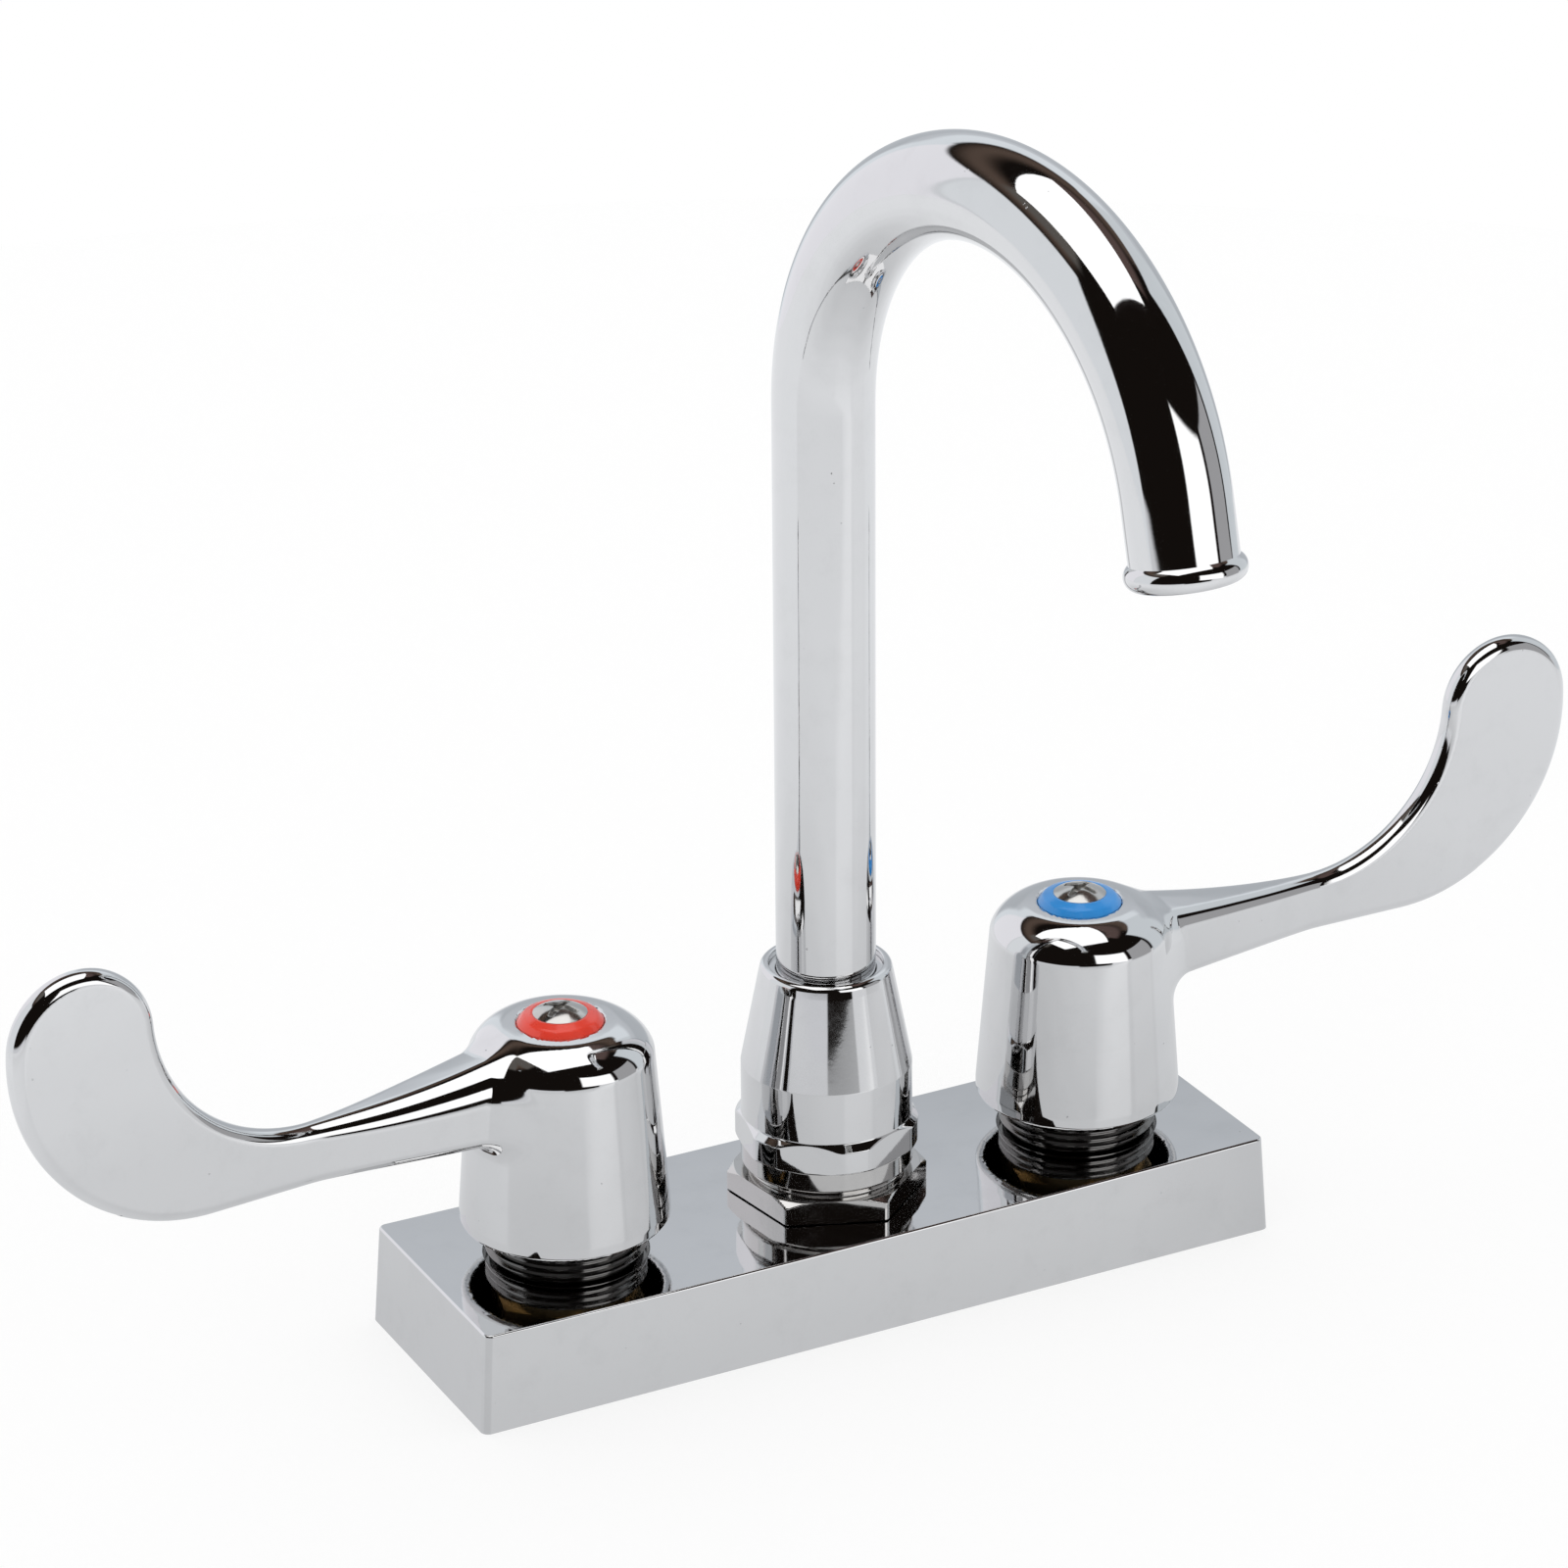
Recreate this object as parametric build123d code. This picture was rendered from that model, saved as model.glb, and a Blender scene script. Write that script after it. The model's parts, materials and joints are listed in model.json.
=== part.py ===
from build123d import *
import os
from math import atan2, cos, pi, radians, sin, sqrt

# Commercial deck-mount faucet, built in millimetres.
# Origin: centre of the base's underside, on the deck. +X cold side, -Y user, +Z up.

# Deck and spacing
valve_spread = 101.6
deck_thickness = 10.0
running_clearance = 0.05
cut_overshoot = 1.0

# Base cover
base_end_margin = 26.8
base_width = 46.6
base_height = 18.6
base_end_draft = 1.23
base_side_draft = 0.65
base_wall = 2.5
base_corner_radius = 1.5
base_edge_radius = 0.9
gasket_thickness = 2.0
gasket_side_gap = 0.3
neck_hole_gap = 0.3

# Threads drawn as rings: where each turn's flanks start and end, as shares of the pitch
thread_rise_start = 0.1
thread_crest_start = 0.45
thread_crest_end = 0.6
thread_fall_end = 0.95

# Waterway body
chamber_radius = 16.5
chamber_floor = 4.0
centre_radius = 14.0
centre_bore = 7.5
centre_floor = 2.0
passage_radius = 6.3
passage_bore = 4.0
neck_crest = 13.95
neck_thread_depth = 0.65
neck_wall = 1.8
neck_pitch = 1.41
neck_rise = 4.4

# Inlet shanks, half inch straight pipe thread
shank_radius = 10.4
shank_thread_depth = 0.75
shank_pitch = 1.814
shank_bore = 6.0
shank_below_deck = 45.0
shank_plain_end = 14.0
shank_spigot_wall = 2.5
lock_nut_flats = 32.0
lock_nut_height = 7.0
lock_washer_radius = 17.5
lock_washer_thickness = 2.0

# Cartridge
cartridge_wall = 0.95
cartridge_shoulder_lap = 0.75
cartridge_shoulder_height = 2.0
cartridge_hex_flats = 24.3
cartridge_hex_height = 4.0
cartridge_hex_turn = 15.0
cartridge_top_radius = 8.0
cartridge_top_height = 7.0
cartridge_thread_length = 7.0
window_height = 4.0
window_angle = 80.0
seat_seal_height = 2.0
seat_seal_bore = 6.0
disc_radius = 8.0
disc_thickness = 3.0
disc_port_inner = 2.8
disc_port_rim = 1.1
disc_port_angle = 80.0
drive_disc_inset = 0.5
drive_lug_length = 3.0
drive_lug_width = 2.0
drive_lug_depth = 1.6
drive_lug_place = 5.2
cartridge_ring_section = 0.9
stem_radius = 5.0
stem_ring_section = 0.7
clip_thickness = 1.0
clip_overhang = 1.5
clip_groove_depth = 1.0
clip_opening = 50.0
spline_shoulder = 0.7
spline_depth = 0.5
spline_length = 16.5
spline_teeth = 16
spline_crest_start = 0.35
spline_crest_end = 0.65

# Wrist blade handle, drawn with its hub on the Z axis and its blade along +X
hot_handle_angle = 186.2
cold_handle_angle = 0.0
hub_mouth_gap = 1.6
hub_mouth_clearance = 2.5
hub_wall = 1.7
hub_lip_height = 2.2
hub_mouth_edge = 0.8
hub_taper = 2.15
hub_wall_height = 28.4
hub_shoulder = 7.4
hub_crown_radius = 42.0
hub_height = 38.24
hub_boss_wall = 4.2
hub_boss_gap = 1.45
hub_boss_length = 7.5
arm_start = 11.0
arm_end = 50.0
arm_stations = 4
arm_top_widening = 0.214
arm_bottom_swell = 0.05
arm_bottom_widening = 0.066
arm_bottom_rise_start = 19.8
arm_bottom_rise_end = 20.7
arm_edge_rise = 29.0
arm_edge_curve = 0.00185
arm_crown_rise = 31.3
arm_crown_slope = 0.03
arm_crown_curve = 0.0024
arm_corner_radius = 1.4
blade_thickness = 4.8
blade_rim_flat = 0.4
blade_start = 44.0
blade_tip_reach = 89.0
blade_tip_rise = 57.1
blade_tip_radius = 12.8
blade_outer_place = 67.6
blade_inner_place = 48.4

# Index ring and screw
ring_slope_width = 2.25
ring_land = 0.45
ring_seat_gap = 0.1
ring_seat_depth = 1.54
ring_edge_height = 0.7
ring_height = 2.1
screw_head_radius = 4.65
screw_head_edge = 0.25
screw_dome = 1.35
screw_shank_radius = 2.0
screw_engagement = 6.6
screw_recess_length = 4.8
screw_recess_width = 1.0
screw_recess_depth = 1.8
screw_recess_turns = (30, 120)

# Spout adapter
adapter_wall = 2.71
adapter_thread_depth = 0.6
adapter_hex_overhang = 0.3
adapter_hex_height = 3.4
adapter_hex_turn = 38.5
adapter_hex_chamfer_width = 1.5
adapter_hex_chamfer_height = 1.0
adapter_neck_inset = 1.5
adapter_neck_height = 1.4
adapter_collar_inset = 1.0
adapter_collar_height = 3.9
adapter_shelf = 1.0
adapter_edge = 0.5
adapter_thread_height = 16.7
adapter_spigot_radius = 9.5
adapter_spigot_depth = 5.2
adapter_spigot_bore = 6.5
adapter_washer_thickness = 1.4
adapter_hole_gap = 0.3

# Spout
tube_radius = 8.64
tube_wall = 1.2
riser_length = 115.95
bend_radius = 47.88
bend_angle = 166.5
outlet_run = 12.9
spout_yaw = 6.47
bead_height = 4.4
bead_swell = 0.99
bead_flat = 0.6
outlet_seat_depth = 6.0
outlet_seat_step = 0.36
flange_rim = 2.56
flange_height = 3.0
shank_insert_depth = 10.0
o_ring_section = 1.3
o_ring_groove_wall = 0.44
o_ring_places = (4.0, 9.5)
friction_washer_thickness = 2.0
straightener_setback = 2.0
straightener_length = 7.0
straightener_hole = 1.5
straightener_pitch = 4.1
straightener_ring_holes = 6

# Spout nut
nut_wall = 2.95
nut_rim_swell = 1.15
nut_flat_depth = 0.9
nut_flat_turn = 20.0
nut_rim_height = 4.2
nut_body_start = 6.6
nut_straight_below_thread = 1.7
nut_waist_wall = 1.9
nut_waist_above_washer = 2.25
nut_cone_height = 7.1
nut_cone_edge_height = 1.9
nut_lip_edge_height = 0.7
nut_lip_wall = 0.55
nut_lip_edge_width = 0.7
nut_neck_swell = 0.6
guide_ring_wall = 1.26
guide_ring_height = 3.9
guide_ring_below_lip = 1.1


def rim_point(radius, angle):
    """A point on a circle about the Z axis, the angle in degrees."""
    return (radius * cos(radians(angle)), radius * sin(radians(angle)))


def turned(*outline):
    """A solid turned about the Z axis from (radius, height) points."""
    return revolve(Plane.XZ * make_face(Polyline(*outline, close=True)), Axis.Z)


def ring(outer, inner, bottom, top):
    """A plain ring about the Z axis."""
    return turned((inner, bottom), (outer, bottom), (outer, top), (inner, top))


def rod(radius, bottom, top):
    """A plain round bar on the Z axis."""
    return Pos(0, 0, bottom) * Cylinder(radius, top - bottom, align=(Align.CENTER, Align.CENTER, Align.MIN))


def torus_ring(centre_radius_of_ring, section, height):
    """An O-ring about the Z axis."""
    return Pos(0, 0, height) * Torus(centre_radius_of_ring, section)


def hexagon(flats, bottom, top, turn):
    """A hexagonal bar on the Z axis, its corners turned from +X."""
    outline = RegularPolygon(flats / 2, 6, major_radius=False, rotation=turn)
    return extrude(Pos(0, 0, bottom) * outline, top - bottom)


def sector(outer, inner, angle, bottom, top):
    """A slice of a ring, centred on +X."""
    half = angle / 2
    outline = make_face(
        [
            Line(rim_point(inner, -half), rim_point(outer, -half)),
            ThreePointArc(rim_point(outer, -half), (outer, 0), rim_point(outer, half)),
            Line(rim_point(outer, half), rim_point(inner, half)),
            ThreePointArc(rim_point(inner, half), (inner, 0), rim_point(inner, -half)),
        ]
    )
    return extrude(Pos(0, 0, bottom) * outline, top - bottom)


def thread_outline(crest, root, pitch, bottom, top):
    """Points of a male thread drawn as rings, from its bottom to its top."""
    turns = int((top - bottom) / pitch)
    points = [(root, bottom)]
    for turn in range(turns):
        start = bottom + turn * pitch
        points.append((root, start + thread_rise_start * pitch))
        points.append((crest, start + thread_crest_start * pitch))
        points.append((crest, start + thread_crest_end * pitch))
        points.append((root, start + thread_fall_end * pitch))
    points.append((root, top))
    return points


def splined_bar(clearance, bottom, top):
    """The splined end of the stem, or with a clearance the socket for it."""
    corners = []
    for tooth in range(spline_teeth):
        start = tooth * 360 / spline_teeth
        step = 360 / spline_teeth
        corners.append(rim_point(spline_root + clearance, start))
        corners.append(rim_point(spline_crest + clearance, start + spline_crest_start * step))
        corners.append(rim_point(spline_crest + clearance, start + spline_crest_end * step))
    outline = make_face(Polyline(*corners, close=True))
    return extrude(Pos(0, 0, bottom) * outline, top - bottom)


# Radii that several pieces share
valve_x = valve_spread / 2
base_length = valve_spread + 2 * base_end_margin
neck_root = neck_crest - neck_thread_depth
chamber_bore = neck_root - neck_wall
shank_spigot_radius = shank_bore + shank_spigot_wall
cartridge_cavity = disc_radius + running_clearance
cartridge_wall_radius = cartridge_cavity + cartridge_wall
disc_port_outer = disc_radius - disc_port_rim
clip_seat_radius = stem_radius - clip_groove_depth
spline_crest = stem_radius - spline_shoulder
spline_root = spline_crest - spline_depth
hub_mouth_inner = neck_crest + hub_mouth_clearance
hub_mouth_radius = hub_mouth_inner + hub_wall
ring_top_radius = screw_head_radius + ring_land
ring_radius = ring_top_radius + ring_slope_width
tube_bore = tube_radius - tube_wall
spout_bore_radius = tube_radius + running_clearance
spout_groove_root = tube_radius - 2 * o_ring_section
spout_shank_bore = spout_groove_root - o_ring_groove_wall
flange_radius = tube_radius + flange_rim
adapter_thread_root = spout_bore_radius + adapter_wall
adapter_thread_crest = adapter_thread_root + adapter_thread_depth
nut_body_radius = adapter_thread_crest + nut_wall
nut_rim_radius = nut_body_radius + nut_rim_swell
nut_flats = 2 * (nut_rim_radius - nut_flat_depth)
nut_waist_radius = flange_radius + running_clearance + nut_waist_wall
nut_mouth_radius = spout_bore_radius + guide_ring_wall
nut_lip_radius = nut_mouth_radius + nut_lip_wall
adapter_collar_radius = nut_rim_radius - adapter_collar_inset
adapter_hex_flats = 2 * (adapter_collar_radius + adapter_hex_overhang)

# Heights that several pieces share
cavity_top = base_height - base_wall
chamber_seat = gasket_thickness + chamber_floor
neck_top = base_height + neck_rise
cartridge_shoulder_top = neck_top + cartridge_shoulder_height
cartridge_hex_top = cartridge_shoulder_top + cartridge_hex_height
cartridge_top = cartridge_hex_top + cartridge_top_height
fixed_disc_bottom = chamber_seat + seat_seal_height
moving_disc_bottom = fixed_disc_bottom + disc_thickness
drive_disc_bottom = moving_disc_bottom + disc_thickness
cartridge_ceiling = drive_disc_bottom + disc_thickness
thread_bottom = neck_top - cartridge_thread_length
clip_bottom = cartridge_top + running_clearance
hub_boss_bottom = clip_bottom + clip_thickness + hub_boss_gap
stem_top = hub_boss_bottom + spline_length
screw_bottom = stem_top - screw_engagement
hub_mouth_height = neck_top + hub_mouth_gap
hub_lip_top = hub_mouth_height + hub_lip_height
hub_apex = hub_mouth_height + hub_height
ring_seat_height = hub_apex - ring_seat_depth
screw_head_height = ring_seat_height + ring_height
arm_bottom_end = hub_mouth_height + arm_bottom_rise_end
arm_crown_end = hub_mouth_height + arm_crown_rise
adapter_collar_bottom = base_height + adapter_hex_height + adapter_neck_height
adapter_collar_top = adapter_collar_bottom + adapter_collar_height
adapter_socket_bottom = adapter_collar_bottom + adapter_shelf
adapter_top = adapter_collar_top + adapter_thread_height
adapter_spigot_bottom = base_height - adapter_spigot_depth
flange_bottom = adapter_top + running_clearance
flange_top = flange_bottom + flange_height
friction_washer_top = flange_top + friction_washer_thickness
nut_waist_height = friction_washer_top + nut_waist_above_washer
nut_lip_bottom = nut_waist_height + nut_cone_height + nut_cone_edge_height
nut_lip_top = nut_lip_bottom + nut_lip_edge_height
guide_ring_top = nut_lip_top - guide_ring_below_lip
guide_ring_bottom = guide_ring_top - guide_ring_height
riser_top = flange_top + riser_length
passage_height = (gasket_thickness + cavity_top) / 2
under_deck = -deck_thickness
washer_bottom = under_deck - lock_washer_thickness
nut_bottom = washer_bottom - lock_nut_height


def base_block(inset, height):
    """The drafted block of the base, drawn in by a wall."""
    length = base_length - 2 * inset
    width = base_width - 2 * inset
    share = height / base_height
    top_length = length - 2 * base_end_draft * share
    top_width = width - 2 * base_side_draft * share
    foot = RectangleRounded(length, width, base_corner_radius)
    crown = Pos(0, 0, height) * RectangleRounded(top_length, top_width, base_corner_radius)
    return loft([foot, crown], ruled=True)


def make_deck_cover():
    """Cast base: a drafted shell, open below, with three holes in its top."""
    block = base_block(0, base_height)
    block = fillet(block.faces().sort_by(Axis.Z)[-1].edges(), base_edge_radius)
    shell = block - base_block(base_wall, cavity_top)
    neck_hole = rod(neck_crest + neck_hole_gap, 0, base_height)
    adapter_hole = rod(adapter_spigot_radius + adapter_hole_gap, 0, base_height)
    return shell - Pos(-valve_x, 0, 0) * neck_hole - Pos(valve_x, 0, 0) * neck_hole - adapter_hole


def make_deck_gasket():
    """Rubber pad flush with the base's lower rim."""
    pad = base_block(base_wall + gasket_side_gap, gasket_thickness)
    hole = rod(shank_radius, 0, gasket_thickness)
    return pad - Pos(-valve_x, 0, 0) * hole - Pos(valve_x, 0, 0) * hole


def make_waterway_body():
    """Brass body: two valve chambers with threaded necks, joined to a central chamber."""
    chamber = rod(chamber_radius, gasket_thickness, cavity_top)
    neck_outline = thread_outline(neck_crest, neck_root, neck_pitch, base_height, neck_top)
    neck = turned((0, cavity_top), (neck_root, cavity_top), *neck_outline, (0, neck_top))
    passage_length = valve_spread
    bar = Pos(0, 0, passage_height) * Rot(0, 90, 0) * Cylinder(passage_radius, passage_length)
    bore = Pos(0, 0, passage_height) * Rot(0, 90, 0) * Cylinder(passage_bore, passage_length)
    body = rod(centre_radius, gasket_thickness, cavity_top) + bar
    for side in (-1, 1):
        body += Pos(side * valve_x, 0, 0) * (chamber + neck)
    body -= bore
    body -= rod(centre_bore, gasket_thickness + centre_floor, cavity_top)
    body -= rod(adapter_spigot_radius, adapter_spigot_bottom - adapter_washer_thickness, cavity_top)
    for side in (-1, 1):
        body -= Pos(side * valve_x, 0, 0) * rod(chamber_bore, chamber_seat, neck_top)
        body -= Pos(side * valve_x, 0, 0) * rod(shank_spigot_radius, gasket_thickness, chamber_seat)
    return body


def make_shank():
    """Threaded inlet tube through the deck, its plain end at the thread's full diameter."""
    end = -shank_below_deck
    plain_top = end + shank_plain_end
    thread_root = shank_radius - shank_thread_depth
    return turned(
        (shank_bore, end),
        (shank_radius, end),
        (shank_radius, plain_top),
        *thread_outline(shank_radius, thread_root, shank_pitch, plain_top, -shank_pitch / 2),
        (shank_radius, -shank_pitch / 2),
        (shank_radius, gasket_thickness),
        (shank_spigot_radius, gasket_thickness),
        (shank_spigot_radius, chamber_seat),
        (shank_bore, chamber_seat),
    )


def make_lock_nut():
    """Hexagonal nut on the shank, below the deck."""
    return hexagon(lock_nut_flats, nut_bottom, washer_bottom, 0) - rod(shank_radius, nut_bottom, washer_bottom)


def make_lock_washer():
    """Flat steel washer between the lock nut and the deck."""
    return ring(lock_washer_radius, shank_radius + running_clearance, washer_bottom, under_deck)


def make_cartridge_body():
    """Brass cartridge: cavity for the discs, thread, hexagon and stem housing."""
    groove_radius = chamber_bore - 2 * cartridge_ring_section
    groove_middle = (thread_bottom + neck_top) / 2
    groove_bottom = groove_middle - cartridge_ring_section
    groove_top = groove_middle + cartridge_ring_section
    shoulder_radius = chamber_bore + cartridge_shoulder_lap
    body = turned(
        (0, chamber_seat),
        (cartridge_wall_radius, chamber_seat),
        (cartridge_wall_radius, thread_bottom),
        (chamber_bore, thread_bottom),
        (chamber_bore, groove_bottom),
        (groove_radius, groove_bottom),
        (groove_radius, groove_top),
        (chamber_bore, groove_top),
        (chamber_bore, neck_top),
        (shoulder_radius, neck_top),
        (shoulder_radius, cartridge_shoulder_top),
        (cartridge_top_radius, cartridge_shoulder_top),
        (cartridge_top_radius, cartridge_top),
        (0, cartridge_top),
    )
    body += hexagon(cartridge_hex_flats, cartridge_shoulder_top, cartridge_hex_top, cartridge_hex_turn)
    body -= rod(cartridge_cavity, chamber_seat, cartridge_ceiling)
    body -= rod(stem_radius + running_clearance, cartridge_ceiling, cartridge_top)
    window = sector(cartridge_wall_radius + cut_overshoot, cartridge_cavity - cut_overshoot, window_angle,
                    moving_disc_bottom, moving_disc_bottom + window_height)
    return body - window - Rot(0, 0, 180) * window


def make_cartridge_o_ring():
    """Seal between the cartridge and the neck."""
    middle = (thread_bottom + neck_top) / 2
    return torus_ring(chamber_bore - cartridge_ring_section, cartridge_ring_section, middle)


def make_seat_seal():
    """Rubber seat under the fixed disc."""
    return ring(disc_radius, seat_seal_bore, chamber_seat, fixed_disc_bottom)


def make_fixed_disc():
    """Ceramic disc with two ports."""
    disc = rod(disc_radius, fixed_disc_bottom, moving_disc_bottom)
    port = sector(disc_port_outer, disc_port_inner, disc_port_angle, fixed_disc_bottom, moving_disc_bottom)
    return disc - Rot(0, 0, 90) * port - Rot(0, 0, -90) * port


def drive_lugs(clearance):
    """The two lugs that turn the moving disc, or with a clearance their slots."""
    lug = Box(drive_lug_width + 2 * clearance, drive_lug_length + 2 * clearance, drive_lug_depth,
              align=(Align.CENTER, Align.CENTER, Align.MAX))
    near = Pos(0, drive_lug_place, drive_disc_bottom) * lug
    far = Pos(0, -drive_lug_place, drive_disc_bottom) * lug
    return near, far


def make_moving_disc():
    """Ceramic disc that covers or clears the ports as the stem turns."""
    disc = rod(disc_radius, moving_disc_bottom, drive_disc_bottom)
    port = sector(disc_radius + cut_overshoot, disc_port_inner, disc_port_angle, moving_disc_bottom,
                  drive_disc_bottom)
    disc = disc - port - Rot(0, 0, 180) * port
    for slot in drive_lugs(running_clearance):
        disc -= slot
    return disc


def make_stem():
    """Stem: drive disc, shaft with seal groove and clip groove, splined end."""
    seal_middle = (cartridge_hex_top + cartridge_shoulder_top) / 2
    seal_root = stem_radius - 2 * stem_ring_section
    drive_radius = disc_radius - drive_disc_inset
    shaft = turned(
        (0, drive_disc_bottom),
        (drive_radius, drive_disc_bottom),
        (drive_radius, cartridge_ceiling - running_clearance),
        (stem_radius, cartridge_ceiling - running_clearance),
        (stem_radius, seal_middle - stem_ring_section),
        (seal_root, seal_middle - stem_ring_section),
        (seal_root, seal_middle + stem_ring_section),
        (stem_radius, seal_middle + stem_ring_section),
        (stem_radius, clip_bottom),
        (clip_seat_radius, clip_bottom),
        (clip_seat_radius, clip_bottom + clip_thickness),
        (stem_radius, clip_bottom + clip_thickness),
        (stem_radius, hub_boss_bottom),
        (0, hub_boss_bottom),
    )
    for lug in drive_lugs(0):
        shaft += lug
    shaft += splined_bar(0, hub_boss_bottom, stem_top)
    return shaft - rod(screw_shank_radius, screw_bottom, stem_top)


def make_stem_o_ring():
    """Seal between the stem and the cartridge."""
    middle = (cartridge_hex_top + cartridge_shoulder_top) / 2
    return torus_ring(stem_radius - stem_ring_section, stem_ring_section, middle)


def make_stem_clip():
    """Open spring ring that holds the stem in the cartridge."""
    radius = stem_radius + clip_overhang
    top = clip_bottom + clip_thickness
    opening = sector(radius + cut_overshoot, clip_seat_radius - cut_overshoot, clip_opening, clip_bottom, top)
    return ring(radius, clip_seat_radius, clip_bottom, top) - opening


def hub_slope():
    """How much the hub's radius shrinks for each millimetre of height."""
    return hub_taper / (hub_wall_height - hub_lip_height)


def hub_outline():
    """Outer half section of the hub: wall, shoulder and crown."""
    crown_centre = hub_apex - hub_crown_radius
    crown_edge = crown_centre + sqrt(hub_crown_radius**2 - (hub_mouth_radius - hub_taper) ** 2)
    corner_radius = hub_mouth_radius - hub_slope() * (crown_edge - hub_lip_top)
    corner_height = crown_centre + sqrt(hub_crown_radius**2 - corner_radius**2)
    middle = corner_radius / 2
    crown_middle = (middle, crown_centre + sqrt(hub_crown_radius**2 - middle**2))
    outline = make_face(
        [
            Line((0, hub_lip_top), (hub_mouth_radius, hub_lip_top)),
            Line((hub_mouth_radius, hub_lip_top), (corner_radius, corner_height)),
            ThreePointArc((corner_radius, corner_height), crown_middle, (0, hub_apex)),
            Line((0, hub_apex), (0, hub_lip_top)),
        ]
    )
    shoulder = outline.vertices().sort_by_distance((corner_radius, corner_height, 0))[0]
    return fillet(shoulder, hub_shoulder)


def arm_section(place):
    """Cross-section of the arm at a distance from the hub's axis."""
    to_end = arm_end - place
    share = to_end / (arm_end - arm_start)
    top_half = blade_thickness / 2 + arm_top_widening * to_end
    bottom_half = blade_thickness / 2 + arm_bottom_swell + arm_bottom_widening * to_end
    bottom = arm_bottom_end + share * (arm_bottom_rise_start - arm_bottom_rise_end)
    edge = hub_mouth_height + arm_edge_rise + arm_edge_curve * to_end**2
    crown = arm_crown_end + arm_crown_slope * to_end + arm_crown_curve * to_end**2
    outline = make_face(
        [
            Line((-bottom_half, bottom), (bottom_half, bottom)),
            Line((bottom_half, bottom), (top_half, edge)),
            ThreePointArc((top_half, edge), (0, crown), (-top_half, edge)),
            Line((-top_half, edge), (-bottom_half, bottom)),
        ]
    )
    outline = fillet(outline.vertices(), arm_corner_radius)
    return Plane((place, 0, 0), x_dir=(0, 1, 0), z_dir=(1, 0, 0)) * outline


def tangent_centre(place, level, tip_offset):
    """Centre of an arc at a given place that is tangent to a level line and to the blade's tip circle.

    The offset is the tip's radius, positive where the tip circle lies inside the arc.
    """
    tip_height = hub_mouth_height + blade_tip_rise
    reach = level + tip_offset
    height = ((blade_tip_reach - place) ** 2 + tip_height**2 - reach**2) / (2 * (tip_height - reach))
    return (place, height)


def arc_points(centre, level, turn_to):
    """Middle and end of an arc that starts straight below its centre, on the level line."""
    radius = centre[1] - level
    middle_turn = (turn_to - pi / 2) / 2
    middle = (centre[0] + radius * cos(middle_turn), centre[1] + radius * sin(middle_turn))
    end = (centre[0] + radius * cos(turn_to), centre[1] + radius * sin(turn_to))
    return middle, end


def make_blade():
    """Flat upright blade: a crescent that ends in a round tip, its edges rounded."""
    tip_x = blade_tip_reach
    tip_z = hub_mouth_height + blade_tip_rise
    outer = tangent_centre(blade_outer_place, arm_bottom_end, blade_tip_radius)
    inner = tangent_centre(blade_inner_place, arm_crown_end, -blade_tip_radius)
    outer_middle, outer_end = arc_points(outer, arm_bottom_end, atan2(tip_z - outer[1], tip_x - outer[0]))
    inner_middle, inner_end = arc_points(inner, arm_crown_end, atan2(tip_z - inner[1], tip_x - inner[0]))
    outline = make_face(
        [
            Line((blade_start, arm_bottom_end), (blade_outer_place, arm_bottom_end)),
            ThreePointArc((blade_outer_place, arm_bottom_end), outer_middle, outer_end),
            ThreePointArc(outer_end, (tip_x, tip_z + blade_tip_radius), inner_end),
            ThreePointArc(inner_end, inner_middle, (blade_inner_place, arm_crown_end)),
            Line((blade_inner_place, arm_crown_end), (blade_start, arm_crown_end)),
            Line((blade_start, arm_crown_end), (blade_start, arm_bottom_end)),
        ]
    )
    plate = extrude(Plane.XZ * outline, blade_thickness / 2, both=True)
    rims = plate.faces().sort_by(Axis.Y)
    return fillet(rims[0].edges() + rims[-1].edges(), (blade_thickness - blade_rim_flat) / 2)


def hub_cavity():
    """Hollow under the hub's roof, round the boss for the stem."""
    roof = hub_boss_bottom + hub_boss_length
    boss_radius = spline_crest + hub_boss_wall
    inner_top = hub_mouth_inner - hub_slope() * (roof - hub_lip_top)
    return turned(
        (0, hub_mouth_height - cut_overshoot),
        (hub_mouth_inner, hub_mouth_height - cut_overshoot),
        (hub_mouth_inner, hub_lip_top),
        (inner_top, roof),
        (boss_radius, roof),
        (boss_radius, hub_boss_bottom),
        (0, hub_boss_bottom),
    )


def make_handle():
    """Wrist blade handle: hollow hub, tapering arm and crescent blade in one casting."""
    hub = revolve(Plane.XZ * hub_outline(), Axis.Z)
    mouth = rod(hub_mouth_radius, hub_mouth_height, hub_lip_top)
    mouth = fillet(mouth.faces().sort_by(Axis.Z)[0].edges(), hub_mouth_edge)
    spacing = (arm_end - arm_start) / (arm_stations - 1)
    stations = [arm_start + spacing * step for step in range(arm_stations)]
    arm = loft([arm_section(place) for place in stations])
    handle = hub + mouth + arm + make_blade()
    handle -= hub_cavity()
    handle -= splined_bar(running_clearance, hub_boss_bottom, stem_top)
    handle -= rod(screw_shank_radius, stem_top, hub_apex)
    handle -= rod(ring_radius + ring_seat_gap, ring_seat_height, hub_apex)
    return handle


def make_index_ring():
    """Coloured ring: a low cone with a countersunk hole."""
    return turned(
        (screw_shank_radius, ring_seat_height),
        (ring_radius, ring_seat_height),
        (ring_radius, ring_seat_height + ring_edge_height),
        (ring_top_radius, screw_head_height),
        (screw_head_radius, screw_head_height),
    )


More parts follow.
